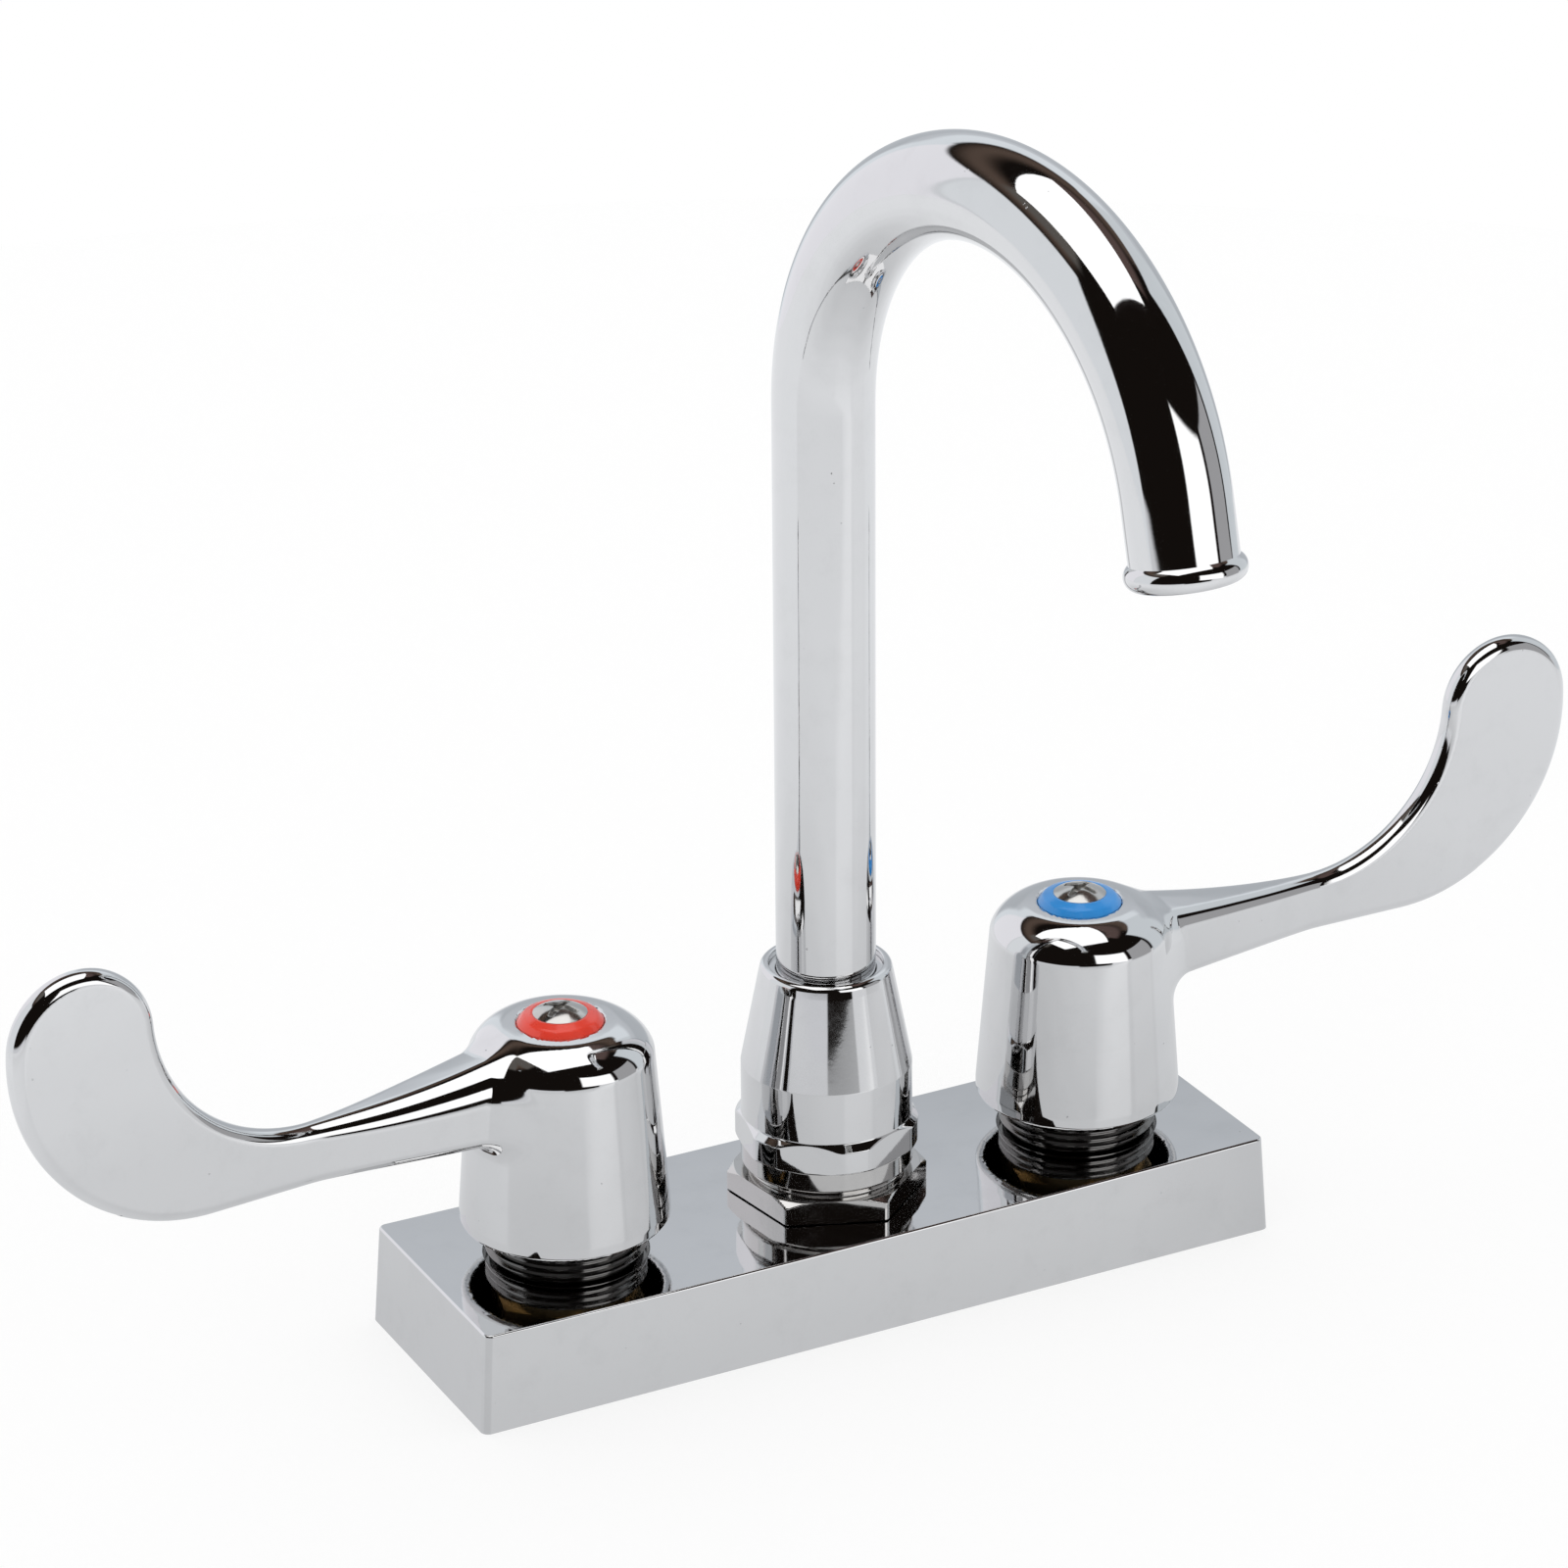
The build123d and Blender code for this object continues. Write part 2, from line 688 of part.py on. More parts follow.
def make_handle_screw():
    """Oval head screw with a cross recess, drawn from its shank up."""
    edge_top = screw_head_height + screw_head_edge
    apex = edge_top + screw_dome
    dome_radius = (screw_head_radius**2 + screw_dome**2) / (2 * screw_dome)
    middle_radius = screw_head_radius / 2
    middle_height = apex - dome_radius + sqrt(dome_radius**2 - middle_radius**2)
    outline = make_face(
        [
            Line((0, screw_bottom), (screw_shank_radius, screw_bottom)),
            Line((screw_shank_radius, screw_bottom), (screw_shank_radius, ring_seat_height)),
            Line((screw_shank_radius, ring_seat_height), (screw_head_radius, screw_head_height)),
            Line((screw_head_radius, screw_head_height), (screw_head_radius, edge_top)),
            ThreePointArc((screw_head_radius, edge_top), (middle_radius, middle_height), (0, apex)),
            Line((0, apex), (0, screw_bottom)),
        ]
    )
    screw = revolve(Plane.XZ * outline, Axis.Z)
    bar = Box(screw_recess_length, screw_recess_width, screw_recess_depth,
              align=(Align.CENTER, Align.CENTER, Align.MAX))
    for turn in screw_recess_turns:
        screw -= Pos(0, 0, apex) * Rot(0, 0, turn) * bar
    return screw


def make_spout_adapter():
    """Hexagon, neck and collar, with a male thread above and a short spigot below."""
    hex_top = base_height + adapter_hex_height
    neck_radius = adapter_collar_radius - adapter_neck_inset
    barrel = turned(
        (0, adapter_spigot_bottom),
        (adapter_spigot_radius, adapter_spigot_bottom),
        (adapter_spigot_radius, base_height),
        (neck_radius, base_height),
        (neck_radius, adapter_collar_bottom),
        (adapter_collar_radius - adapter_edge, adapter_collar_bottom),
        (adapter_collar_radius, adapter_collar_bottom + adapter_edge),
        (adapter_collar_radius, adapter_collar_top),
        *thread_outline(adapter_thread_crest, adapter_thread_root, neck_pitch, adapter_collar_top, adapter_top),
        (0, adapter_top),
    )
    nut = hexagon(adapter_hex_flats, base_height, hex_top, adapter_hex_turn)
    corner = adapter_hex_flats / sqrt(3)
    chamfered = turned(
        (0, base_height),
        (corner, base_height),
        (corner, hex_top - adapter_hex_chamfer_height),
        (corner - adapter_hex_chamfer_width, hex_top),
        (0, hex_top),
    )
    barrel += nut & chamfered
    barrel -= rod(spout_bore_radius, adapter_socket_bottom, adapter_top)
    return barrel - rod(adapter_spigot_bore, adapter_spigot_bottom, adapter_top)


def make_adapter_washer():
    """Flat seal under the adapter's spigot."""
    bottom = adapter_spigot_bottom - adapter_washer_thickness
    return ring(adapter_spigot_radius, adapter_spigot_bore, bottom, adapter_spigot_bottom)


def make_spout_nut():
    """Tapered nut with six small wrench flats round its rim."""
    foot = adapter_collar_top
    lip_edge_radius = nut_lip_radius + nut_lip_edge_width
    shell = turned(
        (adapter_thread_crest, foot),
        (nut_rim_radius - adapter_edge, foot),
        (nut_rim_radius, foot + adapter_edge),
        (nut_rim_radius, foot + nut_rim_height),
        (nut_body_radius, foot + nut_body_start),
        (nut_body_radius, adapter_top - nut_straight_below_thread),
        (nut_waist_radius, nut_waist_height),
        (lip_edge_radius + nut_neck_swell, nut_waist_height + nut_cone_height),
        (lip_edge_radius, nut_lip_bottom),
        (nut_lip_radius, nut_lip_top),
        (nut_mouth_radius, nut_lip_top),
        (nut_mouth_radius, guide_ring_bottom),
        (spout_bore_radius, guide_ring_bottom),
        (spout_bore_radius, friction_washer_top),
        (flange_radius + running_clearance, friction_washer_top),
        (flange_radius + running_clearance, adapter_top),
        (adapter_thread_crest, adapter_top),
    )
    return shell & hexagon(nut_flats, foot, nut_lip_top, nut_flat_turn)


def make_spout_guide_ring():
    """Ring pressed into the nut's mouth, which guides the tube."""
    return ring(nut_mouth_radius, spout_bore_radius, guide_ring_bottom, guide_ring_top)


def make_friction_washer():
    """Nylon washer between the spout's flange and the nut."""
    return ring(flange_radius, spout_bore_radius, flange_top, friction_washer_top)


def spout_path():
    """Centre line of the tube: riser, gooseneck and outlet run."""
    # The path is drawn in a plane that looks along the spout's own width.
    swing = radians(bend_angle)
    bend_start = (0, riser_top)
    bend_top = (bend_radius * (1 - cos(swing / 2)), riser_top + bend_radius * sin(swing / 2))
    bend_end = (bend_radius * (1 - cos(swing)), riser_top + bend_radius * sin(swing))
    end = (bend_end[0] + outlet_run * sin(swing), bend_end[1] + outlet_run * cos(swing))
    riser = Line((0, flange_top), bend_start)
    gooseneck = ThreePointArc(bend_start, bend_top, bend_end)
    run = Line(bend_end, end)
    return riser, gooseneck, run, end


def spout_plane():
    """Upright plane through the spout, its first direction pointing at the outlet."""
    yaw = radians(spout_yaw)
    forward = (sin(yaw), -cos(yaw), 0)
    return Plane((0, 0, 0), x_dir=forward, z_dir=(-cos(yaw), -sin(yaw), 0))


def outlet_plane():
    """Plane across the outlet, facing out of the spout."""
    riser, gooseneck, run, end = spout_path()
    swing = radians(bend_angle)
    plane = spout_plane()
    outward = plane.from_local_coords((sin(swing), cos(swing), 0))
    return Plane(plane.from_local_coords((end[0], end[1], 0)), z_dir=outward)


def make_spout_tube():
    """Chromed gooseneck tube with a rolled bead at its outlet."""
    riser, gooseneck, run, end = spout_path()
    path = spout_plane() * (Wire([riser, gooseneck, run]))
    section = Pos(0, 0, flange_top) * Circle(tube_radius)
    outer = sweep(section, path)
    bead = extrude(outlet_plane() * Circle(tube_radius + bead_swell), -bead_height)
    bead = fillet(bead.edges().filter_by(GeomType.CIRCLE), (bead_height - bead_flat) / 2)
    bore = sweep(Pos(0, 0, flange_top) * Circle(tube_bore), path)
    seat = extrude(outlet_plane() * Circle(tube_bore + outlet_seat_step), -outlet_seat_depth)
    return outer + bead - bore - seat


def make_spout_shank():
    """Brass end of the spout: grooved spigot, flange and an insert in the tube."""
    foot = adapter_socket_bottom + running_clearance
    outline = [(spout_shank_bore, foot), (tube_radius, foot)]
    for place in o_ring_places:
        outline.append((tube_radius, foot + place - o_ring_section))
        outline.append((spout_groove_root, foot + place - o_ring_section))
        outline.append((spout_groove_root, foot + place + o_ring_section))
        outline.append((tube_radius, foot + place + o_ring_section))
    outline += [
        (tube_radius, flange_bottom),
        (flange_radius, flange_bottom),
        (flange_radius, flange_top),
        (tube_bore, flange_top),
        (tube_bore, flange_top + shank_insert_depth),
        (spout_shank_bore, flange_top + shank_insert_depth),
    ]
    return turned(*outline)


def make_spout_o_rings():
    """Two seals in the grooves of the spout's spigot."""
    foot = adapter_socket_bottom + running_clearance
    return [torus_ring(tube_radius - o_ring_section, o_ring_section, foot + place) for place in o_ring_places]


def make_stream_straightener():
    """Round insert with seven holes, set back inside the outlet."""
    plug = Cylinder(tube_bore, straightener_length)
    plug -= Cylinder(straightener_hole, straightener_length)
    for turn in range(straightener_ring_holes):
        x, y = rim_point(straightener_pitch, turn * 360 / straightener_ring_holes)
        plug -= Pos(x, y, 0) * Cylinder(straightener_hole, straightener_length)
    depth = outlet_seat_depth + straightener_setback + straightener_length / 2
    return outlet_plane() * Pos(0, 0, -depth) * plug


def main():
    """Build every sub-part and write it to its own file."""
    hot = Pos(-valve_x, 0, 0)
    cold = Pos(valve_x, 0, 0)
    pieces = {
        "deck_cover": make_deck_cover(),
        "deck_gasket": make_deck_gasket(),
        "waterway_body": make_waterway_body(),
        "spout_adapter": make_spout_adapter(),
        "adapter_washer": make_adapter_washer(),
        "spout_nut": make_spout_nut(),
        "spout_guide_ring": make_spout_guide_ring(),
        "friction_washer": make_friction_washer(),
        "spout_tube": make_spout_tube(),
        "spout_shank": make_spout_shank(),
        "spout_o_rings": Compound(children=make_spout_o_rings()),
        "stream_straightener": make_stream_straightener(),
    }
    fixed = {
        "shank": make_shank(),
        "lock_nut": make_lock_nut(),
        "lock_washer": make_lock_washer(),
        "cartridge_body": make_cartridge_body(),
        "cartridge_o_ring": make_cartridge_o_ring(),
        "seat_seal": make_seat_seal(),
        "fixed_disc": make_fixed_disc(),
    }
    turning = {
        "stem": make_stem(),
        "moving_disc": make_moving_disc(),
        "stem_o_ring": make_stem_o_ring(),
        "stem_clip": make_stem_clip(),
        "handle": make_handle(),
        "index_ring": make_index_ring(),
        "handle_screw": make_handle_screw(),
    }
    for side, place, angle in (("hot", hot, hot_handle_angle), ("cold", cold, cold_handle_angle)):
        for name, piece in fixed.items():
            pieces[side + "_" + name] = place * piece
        for name, piece in turning.items():
            pieces[side + "_" + name] = place * Rot(0, 0, angle) * piece
    os.makedirs("parts", exist_ok=True)
    for name, piece in pieces.items():
        export_step(piece, "parts/" + name + ".step")


main()
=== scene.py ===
"""Looks of a commercial deck-mount faucet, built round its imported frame."""

import json
import logging
import math
from collections.abc import Callable, Sequence
from dataclasses import dataclass
from enum import Enum

import bpy
import numpy as np
from mathutils import Matrix, Vector
from mathutils.geometry import tessellate_polygon


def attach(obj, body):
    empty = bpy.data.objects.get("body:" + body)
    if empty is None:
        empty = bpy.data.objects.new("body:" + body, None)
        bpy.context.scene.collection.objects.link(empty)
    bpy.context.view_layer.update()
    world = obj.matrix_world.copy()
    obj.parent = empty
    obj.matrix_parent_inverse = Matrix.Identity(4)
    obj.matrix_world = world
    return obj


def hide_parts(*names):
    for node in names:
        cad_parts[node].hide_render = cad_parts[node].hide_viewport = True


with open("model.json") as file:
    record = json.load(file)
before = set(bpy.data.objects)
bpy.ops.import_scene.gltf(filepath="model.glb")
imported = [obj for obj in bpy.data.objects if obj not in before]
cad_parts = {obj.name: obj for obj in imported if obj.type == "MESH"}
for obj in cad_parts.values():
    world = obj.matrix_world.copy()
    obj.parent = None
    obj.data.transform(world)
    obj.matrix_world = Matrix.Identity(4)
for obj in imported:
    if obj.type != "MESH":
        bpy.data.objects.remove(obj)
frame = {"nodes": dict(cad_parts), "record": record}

LOG = logging.getLogger("faucet")
MM = 0.001
VALVE_X = 50.8
ARC_STEP = math.radians(9)
SHORTEST_RUN = 1e-6
Point = tuple[float, float]
Corner = tuple[float, float, float]
Colour = tuple[float, float, float]


class Side(Enum):
    """The two valves, with the place of each hub's axis and its handle's turn."""

    HOT = ("hot", -VALVE_X, 186.2)
    COLD = ("cold", VALVE_X, 0.0)

    def __init__(self, label: str, place: float, turn: float) -> None:
        """Keep what tells the two sides apart.

        Args:
            label: The word that its pieces' names start with.
            place: Where the valve's axis crosses the X axis, in millimetres.
            turn: The handle's turn at rest, in degrees.
        """
        self.label = label
        self.place = place
        self.turn = turn


@dataclass(frozen=True)
class Run:
    """A straight stretch of an outline, in millimetres."""

    start: Point
    end: Point

    def distance(self, x: np.ndarray, y: np.ndarray) -> np.ndarray:
        """Distance from points to the stretch.

        Args:
            x: First coordinates.
            y: Second coordinates.

        Returns:
            The unsigned distances.
        """
        dx, dy = self.end[0] - self.start[0], self.end[1] - self.start[1]
        along = ((x - self.start[0]) * dx + (y - self.start[1]) * dy) / (dx * dx + dy * dy)
        along = np.clip(along, 0.0, 1.0)
        return np.hypot(x - self.start[0] - along * dx, y - self.start[1] - along * dy)

    def crossed(self, x: np.ndarray, y: np.ndarray) -> np.ndarray:
        """Whether a ray from each point along the first axis crosses the stretch.

        Args:
            x: First coordinates.
            y: Second coordinates.

        Returns:
            True where it does.
        """
        (ax, ay), (bx, by) = self.start, self.end
        if ay == by:
            return np.zeros(x.shape, bool)
        return ((ay > y) != (by > y)) & (x < (bx - ax) * (y - ay) / (by - ay) + ax)

    def sample(self, step: float) -> tuple[np.ndarray, np.ndarray]:
        """Points along the stretch and its direction at each.

        Args:
            step: Largest distance between points.

        Returns:
            The points and the unit directions.
        """
        delta = np.subtract(self.end, self.start)
        length = float(np.hypot(*delta))
        count = max(2, int(math.ceil(length / step)) + 1)
        share = np.linspace(0.0, 1.0, count)[:, None]
        return np.array(self.start) + share * delta, np.repeat([delta / length], count, axis=0)


@dataclass(frozen=True)
class Arc:
    """A round stretch of an outline, in millimetres and radians."""

    centre: Point
    radius: float
    start: float
    sweep: float

    def point(self, angle: float) -> Point:
        """The point of the circle at an angle."""
        x, y = self.centre
        return x + self.radius * math.cos(angle), y + self.radius * math.sin(angle)

    def distance(self, x: np.ndarray, y: np.ndarray) -> np.ndarray:
        """Distance from points to the arc.

        Args:
            x: First coordinates.
            y: Second coordinates.

        Returns:
            The unsigned distances.
        """
        dx, dy = x - self.centre[0], y - self.centre[1]
        middle = self.start + self.sweep / 2
        off = np.abs((np.arctan2(dy, dx) - middle + math.pi) % (2 * math.pi) - math.pi)
        ring = np.abs(np.hypot(dx, dy) - self.radius)
        first, last = self.point(self.start), self.point(self.start + self.sweep)
        ends = np.minimum(np.hypot(x - first[0], y - first[1]), np.hypot(x - last[0], y - last[1]))
        return np.where(off <= abs(self.sweep) / 2, ring, ends)

    def crossed(self, x: np.ndarray, y: np.ndarray) -> np.ndarray:
        """Whether a ray from each point along the first axis crosses the arc an odd number of times.

        Args:
            x: First coordinates.
            y: Second coordinates.

        Returns:
            True where it does.
        """
        first, last = self.point(self.start), self.point(self.start + self.sweep)
        middle = self.point(self.start + self.sweep / 2)
        dx, dy = last[0] - first[0], last[1] - first[1]
        side = dx * (middle[1] - first[1]) - dy * (middle[0] - first[0])
        beyond = (dx * (y - first[1]) - dy * (x - first[0])) * side > 0
        cap = beyond & (np.hypot(x - self.centre[0], y - self.centre[1]) < self.radius)
        return Run(first, last).crossed(x, y) ^ cap

    def sample(self, step: float) -> tuple[np.ndarray, np.ndarray]:
        """Points along the arc and its direction at each.

        Args:
            step: Largest distance between points.

        Returns:
            The points and the unit directions.
        """
        by_step = self.radius * abs(self.sweep) / step
        count = int(math.ceil(max(by_step, abs(self.sweep) / ARC_STEP, 2))) + 1
        turn = self.start + np.linspace(0.0, 1.0, count) * self.sweep
        sense = math.copysign(1.0, self.sweep)
        outward = np.stack([np.cos(turn), np.sin(turn)], 1)
        points = np.array(self.centre) + self.radius * outward
        return points, sense * np.stack([-outward[:, 1], outward[:, 0]], 1)


@dataclass(frozen=True)
class Outline:
    """An outline of straight and round stretches that runs anticlockwise when closed."""

    pieces: tuple[Run | Arc, ...]

    @classmethod
    def rounded(cls, corners: Sequence[Corner]) -> "Outline":
        """Closed outline through corners, each rounded by its own radius.

        Args:
            corners: First coordinate, second coordinate and radius of each corner.

        Returns:
            The outline.
        """
        count = len(corners)
        entries: list[Point] = []
        exits: list[Point] = []
        arcs: list[Arc | None] = []
        for index, (x, y, radius) in enumerate(corners):
            here = np.array([x, y])
            before = np.array(corners[index - 1][:2])
            after = np.array(corners[(index + 1) % count][:2])
            if radius <= 0:
                entries.append((x, y))
                exits.append((x, y))
                arcs.append(None)
                continue
            back = (before - here) / np.linalg.norm(before - here)
            ahead = (after - here) / np.linalg.norm(after - here)
            half = math.acos(float(np.clip(back @ ahead, -1, 1))) / 2
            reach = radius / math.tan(half)
            bisector = (back + ahead) / np.linalg.norm(back + ahead)
            centre = here + bisector * radius / math.sin(half)
            start, end = here + back * reach, here + ahead * reach
            turn = math.atan2(*(start - centre)[::-1])
            sweep = (math.atan2(*(end - centre)[::-1]) - turn + math.pi) % (2 * math.pi) - math.pi
            entries.append((float(start[0]), float(start[1])))
            exits.append((float(end[0]), float(end[1])))
            arcs.append(Arc((float(centre[0]), float(centre[1])), radius, turn, sweep))
        pieces: list[Run | Arc] = []
        for index in range(count):
            arc = arcs[index]
            if arc is not None:
                pieces.append(arc)
            start, end = exits[index], entries[(index + 1) % count]
            if math.dist(start, end) > SHORTEST_RUN:
                pieces.append(Run(start, end))
        return cls(tuple(pieces))

    def signed(self, x: np.ndarray, y: np.ndarray) -> np.ndarray:
        """Distance to the closed outline, negative inside.

        Args:
            x: First coordinates.
            y: Second coordinates.

        Returns:
            The signed distances.
        """
        nearest = np.full(x.shape, np.inf)
        inside = np.zeros(x.shape, bool)
        for piece in self.pieces:
            nearest = np.minimum(nearest, piece.distance(x, y))
            inside ^= piece.crossed(x, y)
        return np.where(inside, -nearest, nearest)


def eased(value: np.ndarray, low: float, high: float) -> np.ndarray:
    """Rise smoothly from 0 to 1 between two values."""
    share = np.clip((value - low) / (high - low), 0, 1)
    return share * share * (3 - 2 * share)


def round_union(one: np.ndarray, two: np.ndarray, radius: float) -> np.ndarray:
    """Join two distance fields with a fillet.

    Args:
        one: First field.
        two: Second field.
        radius: The fillet's radius.

    Returns:
        The joined field.
    """
    corner = np.hypot(np.maximum(radius - one, 0), np.maximum(radius - two, 0))
    return np.maximum(radius, np.minimum(one, two)) - corner


def round_overlap(one: np.ndarray, two: np.ndarray, radius: float) -> np.ndarray:
    """Keep what two distance fields share, its edge rounded.

    Args:
        one: First field.
        two: Second field.
        radius: The edge's radius.

    Returns:
        The shared field.
    """
    corner = np.hypot(np.maximum(one + radius, 0), np.maximum(two + radius, 0))
    return np.minimum(-radius, np.maximum(one, two)) + corner


@dataclass
class Skin:
    """A mesh in millimetres with the exact normal at each face corner."""

    points: np.ndarray
    faces: list[tuple[int, ...]]
    normals: np.ndarray

    def placed(self, place: float, turn: float) -> "Skin":
        """Turn the skin about the Z axis and move it along X.

        Args:
            place: Distance along X.
            turn: Angle in degrees.

        Returns:
            The moved skin.
        """
        angle = math.radians(turn)
        cosine, sine = math.cos(angle), math.sin(angle)
        spin = np.array([[cosine, -sine, 0], [sine, cosine, 0], [0, 0, 1]])
        return Skin(self.points @ spin.T + np.array([place, 0, 0]), self.faces, self.normals @ spin.T)


@dataclass
class Surface:
    """Sweeps an outline round the Z axis, with exact normals.

    It takes the given number of turns round and a largest step along, in millimetres.
    """

    outline: Outline
    turns: int
    step: float

    def position(self, turn: np.ndarray, across: np.ndarray, along: np.ndarray) -> np.ndarray:
        """Where a point of the outline lies in space.

        Args:
            turn: Angle round the axis.
            across: Distance from the axis.
            along: Place along the axis.

        Returns:
            The point.
        """
        return np.stack([across * np.cos(turn), across * np.sin(turn), along], -1)

    def skin(self) -> Skin:
        """Build the mesh.

        Returns:
            The skin of the whole closed outline.
        """
        angles = np.linspace(0, 2 * math.pi, self.turns, endpoint=False)
        samples = [piece.sample(self.step)[0] for piece in self.outline.pieces]
        total = sum(len(points) - 1 for points in samples)
        rings = []
        faces: list[tuple[int, ...]] = []
        normals = []
        probe = 1e-4
        first = 0
        for points in samples:
            ways = np.gradient(points, axis=0)
            ways /= np.linalg.norm(ways, axis=1)[:, None]
            turn = np.broadcast_to(angles, (len(points), self.turns))
            across, along = (np.broadcast_to(column[:, None], turn.shape) for column in points.T)
            here = self.position(turn, across, along)
            round_way = self.position(turn + probe, across, along)
            round_way = round_way - self.position(turn - probe, across, along)
            out, up = probe * ways[:, :1], probe * ways[:, 1:]
            ahead = self.position(turn, across + out, along + up)
            behind = self.position(turn, across - out, along - up)
            normal = np.cross(round_way, ahead - behind)
            normal /= np.linalg.norm(normal, axis=2)[:, :, None]
            rings.append(here[:-1].reshape(-1, 3))
            low = np.arange(len(points) - 1)
            row = (first + low) % total
            above = (first + low + 1) % total
            for index in range(self.turns):
                after = (index + 1) % self.turns
                faces += zip((row * self.turns + index).tolist(), (row * self.turns + after).tolist(),
                             (above * self.turns + after).tolist(), (above * self.turns + index).tolist())
                corners = np.stack([normal[low, index], normal[low, after], normal[low + 1, after],
                                    normal[low + 1, index]], 1)
                normals.append(corners.reshape(-1, 3))
            first += len(points) - 1
        return Skin(np.concatenate(rings), faces, np.concatenate(normals))


@dataclass
class Hexed(Surface):
    """A turned outline whose outside is cut by six flats over a stretch of its height.

    The flats lie the given distance apart, and one of them faces the given angle in degrees.
    """

    flats: float
    facing: float
    heights: Point
    soft: float = 0.25

    def position(self, turn: np.ndarray, across: np.ndarray, along: np.ndarray) -> np.ndarray:
        """Where a point of the outline lies, drawn in to the nearest flat.

        Args:
            turn: Angle round the axis.
            across: Distance from the axis.
            along: Place along the axis.

        Returns:
            The point.
        """
        off = (turn - math.radians(self.facing) + math.pi / 6) % (math.pi / 3) - math.pi / 6
        flat = self.flats / 2 / np.cos(off)
        low, high = self.heights
        inside = (along >= low) & (along <= high)
        gap = np.maximum(self.soft - np.abs(across - flat), 0)
        cut = np.minimum(across, flat) - gap * gap / (4 * self.soft)
        return super().position(turn, np.where(inside, cut, across), along)


@dataclass(frozen=True)
class SpoutLine:
    """Centre line of the spout: riser, bend and outlet run, in millimetres and degrees."""

    foot: float = 47.05
    riser_top: float = 163.0
    bend: float = 47.88
    swing: float = 166.5
    run: float = 12.9
    yaw: float = 6.47

    def length(self) -> float:
        """Length of the centre line."""
        return self.riser_top - self.foot + self.bend * math.radians(self.swing) + self.run


@dataclass
class Gooseneck(Surface):
    """An outline swept along the spout's centre line."""

    line: SpoutLine

    def position(self, turn: np.ndarray, across: np.ndarray, along: np.ndarray) -> np.ndarray:
        """Where a point of the outline lies, its place measured along the centre line.

        Args:
            turn: Angle round the axis.
            across: Distance from the axis.
            along: Place along the axis.

        Returns:
            The point.
        """
        line = self.line
        riser = line.riser_top - line.foot
        swung = np.clip((along - riser) / line.bend, 0, math.radians(line.swing))
        past = along - riser - line.bend * swung
        forward = line.bend * (1 - np.cos(swung)) + past * np.sin(swung)
        height = line.riser_top + line.bend * np.sin(swung) + past * np.cos(swung)
        side = across * np.sin(turn)
        reach = across * np.cos(turn)
        forward = forward + reach * np.cos(swung)
        height = height - reach * np.sin(swung)
        yaw = math.radians(line.yaw)
        ahead_x, ahead_y = math.sin(yaw), -math.cos(yaw)
        x = forward * ahead_x - side * ahead_y
        y = forward * ahead_y + side * ahead_x
        return np.stack([x, y, height], -1)


